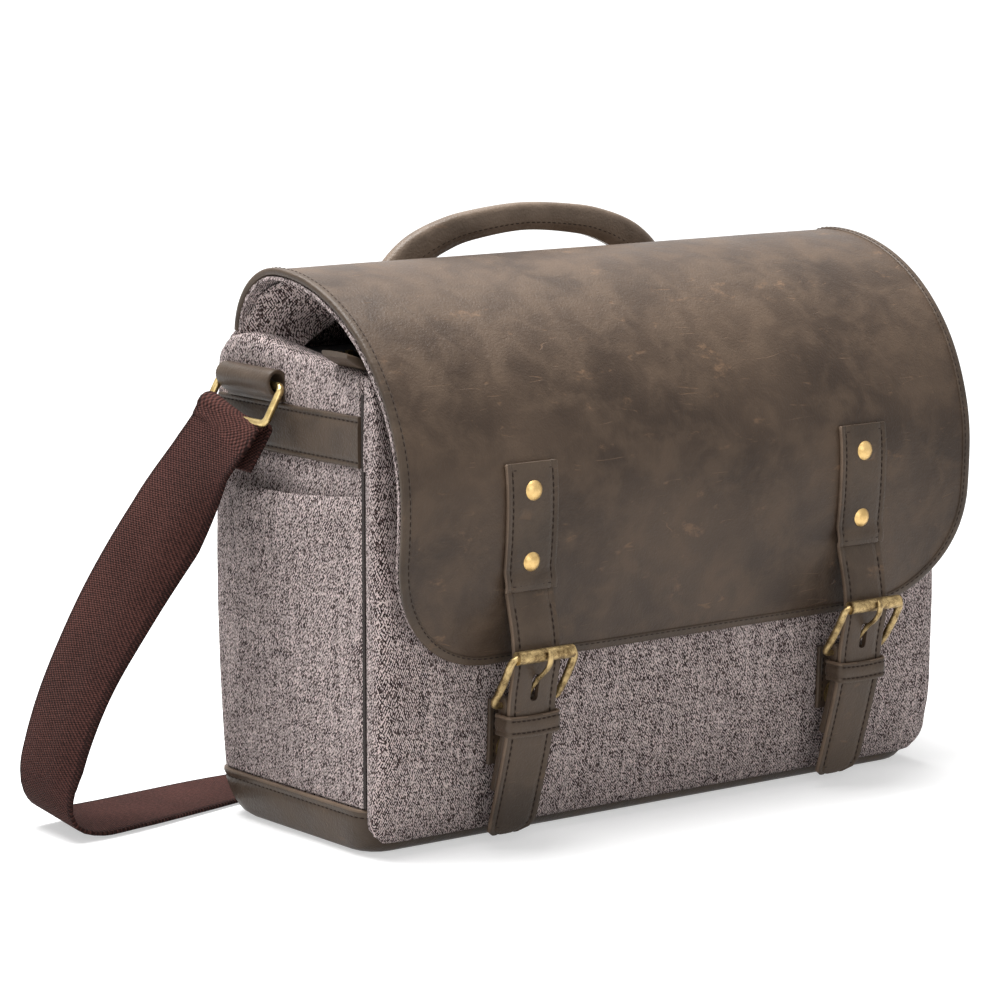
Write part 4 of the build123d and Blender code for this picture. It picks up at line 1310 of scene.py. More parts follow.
    def ear(self, side: Side) -> None:
        """Cloth between the top of a side and the flap, folded over and in.

        Args:
            side: which side.
        """
        shoulder = [
            [(1.5, 61, 221), (1.7, 46, 221), (1.7, 28, 221), (1.5, 10, 221), (1.2, -10, 221),
             (0.9, -36, 221), (0.5, -63, 221)],
            [(1.6, 61, 235), (2.4, 46, 236), (2.4, 28, 236), (1.8, 10, 237), (1.3, -10, 238),
             (0.9, -36, 239), (0.5, -63, 239)],
            [(1.2, 58, 246.0), (4.4, 45, 253.0), (3.6, 28, 255.0), (0.6, 10, 252),
             (-1.0, -10, 249.5), (-1.6, -36, 247.5), (-2.0, -62, 244.5)],
            [(-5.0, 55, 246), (-4.0, 43, 252), (-8.0, 27, 256), (-13, 9, 252), (-15, -11, 248.5),
             (-16, -37, 246.5), (-14, -61, 244.6)],
            [(-14, 53, 244), (-16, 41, 246), (-19, 25, 247), (-22, 8, 245), (-23, -12, 243),
             (-24, -38, 242), (-22, -60, 242)],
        ]
        gusset = [
            [(-2.0, 57, 244), (-3.0, 42, 249), (-7.0, 27, 251), (-18, 16, 250)],
            [(0.5, 52, 252.5), (1.0, 39.5, 258), (-9.0, 28, 262), (-32, 17, 258)],
            [(-0.5, 44, 259), (-2.0, 34, 268), (-14, 21, 270), (-36, 8, 264)],
            [(-2.0, 39.5, 263), (-5.0, 30, 274), (-18, 13, 279), (-36, -4, 273)],
            [(-2.5, 38.5, 267), (-5.0, 27, 278.5), (-14, 10, 285), (-34, -13, 280.5)],
        ]
        parts = []
        for net, seed in ((shoulder, 2.0), (gusset, 5.0)):
            rings = []
            for row in draped(net, 40, 26):
                over, under = [], []
                for out, y, z in row:
                    here = Vector((out, y, z))
                    crease = 0.5 * ripple(here, 15.0, seed + side.value)
                    x = self.half_w + out + crease
                    over.append(Vector((side.value * x, y, z)))
                    under.append(Vector((side.value * (x - 1.6), y, z - 0.8)))
                rings.append(over + list(reversed(under)))
            parts.append(loft("cloth", rings))
        piece = joined(f"{side.word}_ear_cloth", parts)
        self.wardrobe.dress(piece, Body.BAG, Slot.TWEED, [Finish.TWEED],
                            [f"{side.word}_side_ear"], 70.0)


@dataclass
class Zip:
    """The open zip over the main bay."""

    wardrobe: Wardrobe
    tape_w: float = 26.0

    def build(self) -> None:
        """Make the tapes and the end tab, and finish the metal parts."""
        self.tapes()
        for node in ("zip_teeth", "zip_slider", "zip_pull"):
            self.wardrobe.refinish(node, Finish.ANTIQUE)
        self.end_tab()

    def tapes(self) -> None:
        """Two strips of tape along the bay's opening."""
        low, high = box_of("zip_tapes")
        strips = []
        for near in (low.y, high.y - self.tape_w):
            rings = []
            for x in np.linspace(low.x, high.x, 40):
                top = [Vector((x, near + self.tape_w * i / 8, low.z + 1.1)) for i in range(9)]
                rings.append(top + [p - Vector((0, 0, 1.0)) for p in reversed(top)])
            strips.append(loft("tape", rings))
        tapes = joined("zip_tape_cloth", strips)
        self.wardrobe.dress(tapes, Body.BAG, Slot.LINING, [Finish.TAPE], ["zip_tapes"])

    def end_tab(self) -> None:
        """Leather tab at the zip's end, a little raised at its free tip."""
        low, high = box_of("zip_end_tab")
        rings = []
        for x in np.linspace(high.x, low.x - 5.0, 18):
            t = (high.x - x) / (high.x - low.x + 5.0)
            free = max(0.0, (t - 0.35) / 0.65)
            lift = 8.0 * free * free
            thick = 2.2 + 3.0 * math.sin(math.pi * free) ** 0.7 * (1 - 0.2 * free)
            up = low.z + 1.2 + thick / 2 + lift
            rings.append([Vector((x, low.y + 13.0 + a * (1 - 0.12 * t), up + b))
                          for a, b in band_section(25.0, thick, min(1.2, thick / 2 - 0.1), 6, 0.5)])
        tab = loft("zip_end_leather", rings)
        self.wardrobe.dress(tab, Body.BAG, Slot.LEATHER, [Finish.LEATHER], ["zip_end_tab"])


# ------------------------------------------------------------------ the flap
@dataclass(frozen=True)
class FlapShape:
    """Where the flap lies, from its width and its length along the section."""

    half: float = 191.0
    corner: float = 62.0
    rear: float = 22.6
    sewn_half: float = 178.0
    shelf: tuple[float, float] = (0.2754, 0.9613)

    @cached_property
    def section(self) -> np.ndarray:
        """Length, depth, height and outward direction along the flap's section."""
        rows = [(61.51 - 17.51 * t, 247.98 + 5.01 * t, *self.shelf)
                for t in np.linspace(0, 1, 7)]
        rows += [(44.0, z, 1.0, 0.0) for z in (253.2, 254.2)]
        arcs = ((8, 255, 36, 0, 90, 30), (8, 181, 110, 90, 180, 70),
                (163, 181, 265, 180, 198.72, 40))
        for y, z, radius, first, last, steps in arcs:
            for angle in np.radians(np.linspace(first, last, steps)):
                rows.append((y + radius * math.cos(angle), z + radius * math.sin(angle),
                             math.cos(angle), math.sin(angle)))
        table = np.array(rows)
        steps = np.hypot(*np.diff(table[:, :2], axis=0).T)
        return np.c_[np.r_[0, np.cumsum(steps)], table]

    @property
    def total(self) -> float:
        """Length of the section from the sewn end to the lower edge."""
        return float(self.section[-1, 0])

    def normal(self, s: float) -> Vector:
        """Outward direction at a length along the section."""
        ny, nz = (float(np.interp(s, self.section[:, 0], self.section[:, i])) for i in (3, 4))
        return Vector((0, ny, nz)).normalized()

    def wave(self, x: float, s: float) -> float:
        """How far the leather stands out of its plain shape, calm under the straps."""
        strap = ramp(abs(abs(x) - STRAP_X), 18, 26) if s > 200 else 1.0
        slow = 1.1 * ripple(Vector((x, s, 0)), 95.0, 3.0)
        quick = 0.35 * ripple(Vector((x, s, 0)), 34.0, 6.0)
        return ramp(s, 60, 60) * strap * (slow + quick)

    def at(self, x: float, s: float, depth: float) -> Vector:
        """The place of a point of the flap.

        Args:
            x: across the bag.
            s: length along the section.
            depth: how far under the outside.

        Returns:
            The point.
        """
        y, z = (float(np.interp(s, self.section[:, 0], self.section[:, i])) for i in (1, 2))
        return Vector((x, y, z)) + self.normal(s) * (self.wave(x, s) - depth)

    def length_at(self, z: float) -> float:
        """Length along the section at a height on the flap's front."""
        front = self.section[self.section[:, 1] < 8]
        return float(np.interp(-z, -front[:, 2], front[:, 0]))

    def reach(self, s: float, inset: float) -> float:
        """Half the flap's width at a length along it."""
        lift = s - (self.total - self.corner)
        radius = self.corner - inset
        if lift <= 0:
            return self.half - inset
        return self.half - self.corner + math.sqrt(max(radius ** 2 - lift ** 2, 0.0))

    def sewn(self, s: float, reach: float) -> float:
        """Half the width of the leather, narrower where it is sewn to the back."""
        return self.sewn_half + (reach - self.sewn_half) * ramp(s, 18.6, 2.4)

    def outline(self) -> list[tuple[float, float, float, float]]:
        """The edge from the left rear round to the right rear, with its inward direction."""
        low = self.total - self.corner
        side = [(-self.half, s, 1.0, 0.0) for s in np.linspace(self.rear, low - 3, 76)]
        turn = []
        for angle in np.radians(np.linspace(180, 90, 25)):
            turn.append((-self.half + self.corner + self.corner * math.cos(angle),
                         low + self.corner * math.sin(angle), -math.cos(angle), -math.sin(angle)))
        flat = self.half - self.corner
        base = [(x, self.total, 0.0, -1.0) for x in np.linspace(-flat + 4, flat - 4, 66)]
        mirrored = [(-x, s, -nx, ns) for x, s, nx, ns in reversed(side + turn)]
        return side + turn + base + mirrored


@dataclass
class Flap:
    """The leather flap with its lining, binding and strap anchors."""

    wardrobe: Wardrobe
    shape: FlapShape = field(default_factory=FlapShape)
    thread: Thread = field(default_factory=Thread)
    anchor_w: float = 32.5
    anchor_t: float = 2.3
    anchor_seam: float = 3.6

    def build(self) -> None:
        """Make the flap's pieces."""
        self.skin("flap_skin", 0.0, 2.2, 1.0, Finish.FLAP, Slot.LEATHER, "flap_leather", 0.0)
        self.skin("flap_lining_cloth", 2.5, 4.6, 0.4, Finish.TWEED, Slot.LINING, "flap_lining",
                  6.0)
        self.binding()
        for side in Side:
            self.anchor(side)
        self.wardrobe.refinish("anchor_rivets", Finish.RIVET)

    def skin(self, name: str, outer: float, inner: float, inset: float, finish: Finish,
             slot: Slot, node: str, tuck: float) -> None:
        """One layer of the flap.

        Args:
            name: the piece's name.
            outer: depth of its outside.
            inner: depth of its inside.
            inset: distance from the flap's edge.
            finish: its finish.
            slot: the record's slot.
            node: the frame's node.
            tuck: width of an edge that lies under the binding's inner turn.
        """
        low = self.shape.total - self.shape.corner
        radius = self.shape.corner - inset
        marks = [0.6, 6.0, 12.0, 17.5] + list(np.linspace(18.6, low - 4, 66))
        marks += [low + radius * math.sin(math.radians(a)) for a in range(0, 91, 5)]
        columns = 72
        rings = []
        for s in marks:
            reach = self.shape.sewn(s, self.shape.reach(s, inset))
            over, under = [], []
            for share in np.linspace(-1, 1, columns + 1):
                x = reach * (math.sin(math.pi / 2 * share) * 0.25 + share * 0.75)
                edge = min(self.shape.half - abs(x), self.shape.total - s)
                drop = 0.9 * max(0.0, 1 - edge / tuck) if tuck else 0.0
                over.append(self.shape.at(x, s, outer + drop))
                under.append(self.shape.at(x, s, inner + drop * 0.6))
            rings.append(over + list(reversed(under)))
        layer = loft(name, rings)
        self.wardrobe.dress(layer, Body.FLAP, slot, [finish], [node])

    def binding(self) -> None:
        """Leather folded round the edge and stitched through."""
        profile = [(5.1, 0.15), (5.0, -0.5), (4.5, -0.85), (3.6, -0.95), (2.2, -1.0), (1.0, -0.95),
                   (0.3, -0.6), (0.0, 0.1), (0.0, 1.2), (0.3, 2.2), (1.0, 2.7), (2.5, 2.9),
                   (4.6, 2.9), (4.8, 2.5), (2.0, 2.2), (1.1, 1.6), (1.0, 0.6), (1.6, 0.15)]
        rings, line = [], []
        for x, s, nx, ns in self.shape.outline():
            rings.append([self.shape.at(x + nx * i, s + ns * i, d) for i, d in profile])
            here, ahead = (self.shape.at(x + nx * i, s + ns * i, -0.95) for i in (4.0, 5.0))
            line.append(Station(here, (ahead - here).normalized(), self.shape.normal(s)))
        edge = loft("flap_edge_binding", rings)
        self.wardrobe.dress(edge, Body.FLAP, Slot.LEATHER, [Finish.LEATHER], ["flap_binding"], 60.0)
        self.wardrobe.sew(self.thread, "flap_edge_stitches",
                          [spaced(line, self.thread.pitch)], Body.FLAP)

    def anchor(self, side: Side) -> None:
        """Riveted patch that holds a strap, with its lower lip over the strap.

        Args:
            side: which side.
        """
        x = side.value * STRAP_X
        high, low = self.shape.length_at(199.0), self.shape.length_at(134.6)
        marks = [high, high + 0.35, high + 1.0] + list(np.linspace(high + 3, low - 1.2, 26))
        marks += [low - 0.5, low]

        def lift(s: float) -> float:
            return 2.9 * eased(ramp(s, low - 11, 8))

        half = self.anchor_w / 2
        rings = []
        for i, s in enumerate(marks):
            pinch = {0: 1.1, 1: 0.35, len(marks) - 1: 0.5}.get(i, 0.0)
            thick = (self.anchor_t - 0.6 * (lift(s) / 2.9)) * (1 - 0.3 * (pinch > 0.4))
            section = welt(-half + pinch, half - pinch, thick, self.anchor_seam, 0.6)
            rings.append([self.shape.at(x + a, s, -(b + thick / 2 + lift(s) + 0.05))
                          for a, b in section])
        name = f"{side.word}_anchor"
        patch = loft(f"{name}_leather", rings)
        # Painted highlight: the raised edges get the lighter edge finish.
        paint_sides(patch, x, half - 0.9)
        self.wardrobe.dress(patch, Body.FLAP, Slot.LEATHER, [Finish.LEATHER, Finish.EDGE], [name])
        edges = (-half + self.anchor_seam, half - self.anchor_seam)
        first = high + self.anchor_seam
        runs = [[Station(self.shape.at(x + a, s, -(self.anchor_t - 0.25 + lift(s) * 0.8)),
                         Vector((1, 0, 0)), self.shape.normal(s))
                 for s in np.linspace(first, low - 3.5, 24)] for a in edges]
        runs += [[Station(self.shape.at(x + a, s, -(self.anchor_t - 0.1 + lift(s) * 0.8)),
                          Vector((0, 0, 1)), self.shape.normal(s)) for a in edges]
                 for s in (first, low - 3.2)]
        lines = [spaced(run, self.thread.pitch) for run in runs]
        self.wardrobe.sew(self.thread, f"{name}_stitches", lines, Body.FLAP)


def welt(left: float, right: float, thick: float, seam: float,
         dip: float = 0.35) -> list[tuple[float, float]]:
    """Section of a strap with raised edges and a sunk seam line beside each.

    Args:
        left: left edge across the strap.
        right: right edge.
        thick: its thickness.
        seam: distance of the seam lines from the edges.
        dip: how deep the seam lines lie.

    Returns:
        Points (across, out) around the section.
    """
    top = thick / 2
    size = min(1.0, (right - left) / (4 * seam))
    rise = [(0.0, -top * 0.2), (0.15, top * 0.5), (0.6, top * 0.95), (1.3, top + 0.05),
            (seam - 1.1, top), (seam, top - dip * size), (seam + 1.1, top), (seam * 2, top + 0.1)]
    first = [(left + a * size, b) for a, b in rise]
    last = [(right - a * size, b) for a, b in reversed(rise)]
    middle = [((left + right) / 2, top + 0.15)]
    back = [(right - 0.5 * size, -top), ((right + left) / 2, -top), (left + 0.5 * size, -top)]
    return first + middle + last + back


def paint_sides(piece: bpy.types.Object, x: float, half: float) -> None:
    """Give the second finish, a painted highlight, to the raised edges of a strap that lies along a
    line in X.
    """
    paint(piece, 1, lambda f: abs(f.center.x / MM - x) > half)


# ------------------------------------------------------------------ the handle
@dataclass
class Handle:
    """The wrapped carry handle on the flap's shoulder."""

    wardrobe: Wardrobe
    y: float = 50.0
    half: float = 94.0
    wide: float = 14.0
    deep: float = 9.0
    end_w: float = 24.0
    thread: Thread = field(default_factory=lambda: Thread(width=0.75))

    def build(self) -> None:
        """Make the grip and its two sewn ends."""
        half = [(-94.0, 256.2, 24.0), (-94.0, 260.0, 24.0), (-93.2, 266.0, 22.0),
                (-90.6, 272.2, 20.0), (-86.0, 279.0, 18.8), (-79.0, 285.8, 18.2),
                (-70.0, 291.8, 17.4), (-56.0, 297.8, 15.8), (-37.0, 302.6, 14.4)]
        knots = half + [(0.0, 305.9, 13.6)] + [(-x, z, w) for x, z, w in reversed(half)]
        line = through(knots, 3.0)
        stations, rings = [], []
        for i, (x, z, wide) in enumerate(line):
            way = heading(line, i)
            here = Vector((x, self.y + 0.3 * ripple(Vector((x, z, 0)), 30.0), z))
            stations.append(Station(here, Vector((-way[1], 0, way[0])), Vector((0, -1, 0))))
            end = min(1.0, 0.55 + min(i, len(line) - 1 - i) / 4)
            ring = []
            for step in range(24):
                angle = 2 * math.pi * step / 24
                c, s = math.cos(angle), math.sin(angle)
                a = math.copysign(abs(c) ** 0.55, c) * wide / 2
                b = math.copysign(abs(s) ** 0.62, s) * self.deep / 2 * end
                if c < -0.9:
                    a -= 1.5
                ring.append(stations[-1].point(a, b))
            rings.append(ring)
        grip = loft("handle_leather", rings)
        self.wardrobe.dress(grip, Body.HANDLE, Slot.LEATHER, [Finish.HANDLE], ["handle_grip"])
        middle = stations[14:-14]
        lines = [spaced(middle, self.thread.pitch, -self.wide / 2 + 3.0, out)
                 for out in (self.deep / 2 - 0.25, -self.deep / 2 + 0.25)]
        self.wardrobe.sew(self.thread, "handle_stitches", lines, Body.HANDLE)
        self.ends()

    def ends(self) -> None:
        """Flat stitched tabs that hold the grip to the flap."""
        low, high = box_of("handle_ends")
        pieces, lines = [], []
        normal = Vector((0, *FlapShape.shelf))
        for side in Side:
            x = side.value * self.half
            run = []
            for y in np.linspace(low.y + 0.5, high.y - 0.5, 10):
                z = 252.99 - (y - 44.0) * 0.2862 + 1.45
                run.append(Station(Vector((x, y, z)), Vector((1, 0, 0)), normal))
            pieces.append(sweep("tab", run, lambda i: band_section(self.end_w, 2.3, 0.9, 4, 0.15)))
            for across in (-self.end_w / 2 + 2.8, self.end_w / 2 - 2.8):
                lines.append(spaced(run, self.thread.pitch, across, 1.25))
            cross = [run[-3].point(a, 1.25) for a in (-9.0, 9.0)]
            lines.append(spaced([Station(p, Vector((0, 1, 0)), normal) for p in cross],
                                self.thread.pitch))
        ends = joined("handle_end_tabs", pieces)
        self.wardrobe.dress(ends, Body.FLAP, Slot.LEATHER, [Finish.LEATHER], ["handle_ends"])
        self.wardrobe.sew(self.thread, "handle_end_stitches", lines, Body.FLAP)


# ------------------------------------------------------------------ the closures
@dataclass
class Closure:
    """One closing strap with its buckle, keeper and hidden snap."""

    wardrobe: Wardrobe
    side: Side
    strap_w: float = 30.0
    strap_t: float = 2.6
    seam_in: float = 3.9
    path: tuple[tuple[float, float], ...] = ((-99.8, 136.0), (-108.1, 103.0), (-102.4, 80.0),
                                             (-101.8, 62.0), (-84.7, 6.5))
    heel: tuple[float, float] = (-96.0, 76.0)
    roller: tuple[float, float] = (-113.15, 103.0)
    thread: Thread = field(default_factory=Thread)

    @property
    def x(self) -> float:
        """Where its middle is."""
        return self.side.value * STRAP_X

    @property
    def body(self) -> str:
        """The body that its leather rides on."""
        return f"{self.side.word}_closing_strap"

    def build(self) -> None:
        """Make the closure's pieces."""
        self.strap()
        self.chape()
        self.keeper()
        self.frame_loop()
        self.prong()
        for part in ("buckle_roller", "snap_stud"):
            self.wardrobe.refinish(f"{self.side.word}_{part}", Finish.ANTIQUE)

    def strap(self) -> None:
        """The strap, with its hole, sewn edges and uneven lower corners."""
        step = 2.4
        line = even(rounded(self.path, 3), step)
        run = upright_run(self.x, line)
        half, count = self.strap_w / 2, len(line)

        def section(i: int) -> list[tuple[float, float]]:
            cuts = []
            for turn in (3.0, 10.0):
                lift = max(0.0, turn - (count - 1 - i) * step)
                cuts.append(turn - math.sqrt(max(turn ** 2 - lift ** 2, 0)))
            thick = self.strap_t * (0.55 if i in (0, count - 1) else 1.0)
            return welt(-half + cuts[0], half - cuts[1], thick, self.seam_in, 0.6)

        name = f"{self.side.word}_strap"
        strap = sweep(f"{name}_leather", run, section)
        # Painted highlight: the raised edges get the lighter edge finish.
        paint_sides(strap, self.x, half - 0.9)
        hole = block("hole", Vector((self.x - 2.3, -112, 78.0)), Vector((self.x + 2.3, -96, 92)),
                     1.6, 0)
        cut(strap, hole)
        self.wardrobe.dress(strap, self.body, Slot.LEATHER, [Finish.LEATHER, Finish.EDGE], [name])
        top = self.strap_t / 2 - 0.15
        lines = [spaced(run[4:-2], self.thread.pitch, a, top)
                 for a in (-half + self.seam_in, half - self.seam_in)]
        low = [run[-3].point(a, top) for a in (-half + self.seam_in, half - 6.0)]
        lines.append(spaced([Station(p, Vector((0, 0, 1)), run[-3].out) for p in low],
                            self.thread.pitch))
        self.wardrobe.sew(self.thread, f"{name}_stitches", lines, self.body)

    def chape(self) -> None:
        """Folded leather behind the strap, round the buckle's heel bar."""
        eye = [(-96.0, 80.2, 2.4), (-96.0, 79.6, 5.2), (-96.0, 78.2, 7.8), (-96.0, 76.0, 8.6),
               (-96.2, 73.6, 7.4), (-96.9, 71.4, 5.0)]
        tail = even(rounded(((-97.0, 70.0), (-97.9, 64.0), (-87.9, 31.0)), 3), 3.0)
        thick = [t for _, _, t in eye] + [4.3] * len(tail)
        run = [Station(Vector((self.x, y, z)), Vector((1, 0, 0)), Vector((0, -1, 0)))
               for y, z, _ in eye]
        run += upright_run(self.x, tail)
        name = f"{self.side.word}_chape"
        chape = sweep(f"{name}_leather", run,
                      lambda i: band_section(28.6, thick[i], min(1.0, thick[i] / 2 - 0.2), 4))
        slot = block("slot", Vector((self.x - 2.4, -108, 69.0)), Vector((self.x + 2.4, -86, 84)),
                     0.8, 0)
        cut(chape, slot)
        self.wardrobe.dress(chape, self.body, Slot.LEATHER, [Finish.LEATHER], [name])

    def keeper(self) -> None:
        """Leather loop round the strap, with a seam at each edge."""
        name = f"{self.side.word}_keeper"
        low, high = box_of(name)
        middle = (low.z + high.z) / 2
        tall = high.z - low.z
        seam_in = 2.4

        def sag(station: Station) -> float:
            return 0.9 * math.cos(math.pi * (station.at.x - self.x) / (high.x - low.x))

        box = rounded_box((high.x - low.x) / 2 - 2.8, low.y + 1.0, high.y - 1.0, 2.2, 12, 3)
        run = [Station(Vector((self.x + x, y, middle)), Vector((0, 0, 1)), Vector((nx, ny, 0)))
               for x, y, nx, ny in box]
        rings = []
        for station in run:
            front = max(0.0, -station.out.y)
            section = welt(-tall / 2, tall / 2, 1.7, seam_in, 0.45)
            rings.append([station.point(a - sag(station) * front + 0.4, b + 0.3 * front)
                          for a, b in section])
        keeper = loft(f"{name}_leather", rings, True)
        # Painted highlight: the keeper's top edge gets the lighter edge finish.
        paint(keeper, 1, lambda f: f.center.z / MM > high.z - 0.8)
        self.wardrobe.dress(keeper, self.body, Slot.LEATHER, [Finish.LEATHER, Finish.EDGE],
                            [name])
        face = sorted((s for s in run if s.out.y < -0.9), key=lambda s: s.at.x)
        face = [Station(s.at + Vector((0, 0, 0.4 - sag(s))), s.across, s.out) for s in face]
        lines = [spaced(face, 3.2, a, 1.05) for a in (tall / 2 - seam_in, -tall / 2 + seam_in)]
        self.wardrobe.sew(self.thread, f"{name}_stitches", lines, self.body)

    def frame_loop(self) -> None:
        """Cast buckle frame: two rails, a heel bar and the roller's bar."""
        foot, head = Vector((0, *self.heel)), Vector((0, *self.roller))
        rise = (head - foot).normalized()
        facing = Vector((1, 0, 0)).cross(rise)
        facing = facing if facing.y < 0 else -facing
        long = (head - foot).length
        corners = rounded_box(20.2, 0.0, long, 4.0, 10, 8)
        bow = [0.9 * math.sin(math.pi * ramp(v, 0.0, long)) for _, v, _, _ in corners]
        run = []
        for (u, v, nu, nv), lift in zip(corners, bow):
            at = Vector((self.x, 0, 0)) + foot + Vector((u, 0, 0)) + rise * v + facing * lift
            run.append(Station(at, Vector((nu, 0, 0)) + rise * nv, facing))

        def section(i: int) -> list[tuple[float, float]]:
            u, v = corners[i][0], corners[i][1]
            rail = ramp(min(v, long - v), 0.0, 5.0) if abs(u) > 14 else 0.0
            return ring_points(1.75 + 0.5 * rail, 1.75 + 0.15 * rail, 30)

        name = f"{self.side.word}_buckle_frame"
        loop = sweep(f"{name}_cast", run, section, True)
        self.wardrobe.dress(loop, f"{self.side.word}_buckle", Slot.ANTIQUE, [Finish.ANTIQUE],
                            [name], 60.0)

    def prong(self) -> None:
        """Bent prong from the heel bar through the strap's hole onto the roller."""
        knots = [(self.heel[0] + 2.5, self.heel[1] + 1.0, 1.3, 0.8),
                 (self.heel[0] + 0.8, self.heel[1] - 2.5, 1.3, 0.8),
                 (self.heel[0] - 2.2, self.heel[1] - 1.4, 1.35, 0.9),
                 (-99.6, 79.5, 1.4, 1.0), (-103.2, 85.0, 1.4, 1.1), (-108.0, 90.0, 1.5, 1.2),
                 (-113.8, 94.6, 1.6, 1.2), (-117.2, 98.6, 1.7, 1.1), (-118.0, 102.6, 1.6, 1.0),
                 (-117.0, 105.6, 1.2, 0.8)]
        line = through(knots, 1.2)
        run = upright_run(self.x, [(p[0], p[1]) for p in line])

        name = f"{self.side.word}_buckle_prong"
        prong = sweep(f"{name}_bent", run, lambda i: ring_points(line[i][2], line[i][3], 36))
        self.wardrobe.dress(prong, f"{self.side.word}_prong", Slot.ANTIQUE, [Finish.ANTIQUE],
                            [name], 60.0)


@dataclass
class SnapTabs:
    """Leather tabs on the pocket that the straps snap to."""

    wardrobe: Wardrobe
    pockets: Pockets
    wide: float = 25.0
    top: float = 77.0
    foot: float = 43.0
    seam_in: float = 3.4
    thread: Thread = field(default_factory=Thread)

    def build(self) -> None:
        """Make both tabs and finish their sockets."""
        half = self.wide / 2
        pieces, lines = [], []
        for side in Side:
            points = [(self.pockets.front_y(z) - 1.6, z)
                      for z in np.linspace(self.top, self.foot, 16)]
            run = upright_run(side.value * STRAP_X, points)
            pieces.append(sweep("tab", run, lambda i: welt(-half, half, 2.3, self.seam_in)))
            lines += [spaced(run[1:-1], self.thread.pitch, a, 1.0)
                      for a in (-half + self.seam_in, half - self.seam_in)]
        tabs = joined("snap_tab_leather", pieces)
        self.wardrobe.dress(tabs, Body.BAG, Slot.LEATHER, [Finish.LEATHER], ["snap_tabs"])
        self.wardrobe.sew(self.thread, "snap_tab_stitches", lines, Body.BAG)
        self.wardrobe.refinish("snap_sockets", Finish.ANTIQUE)


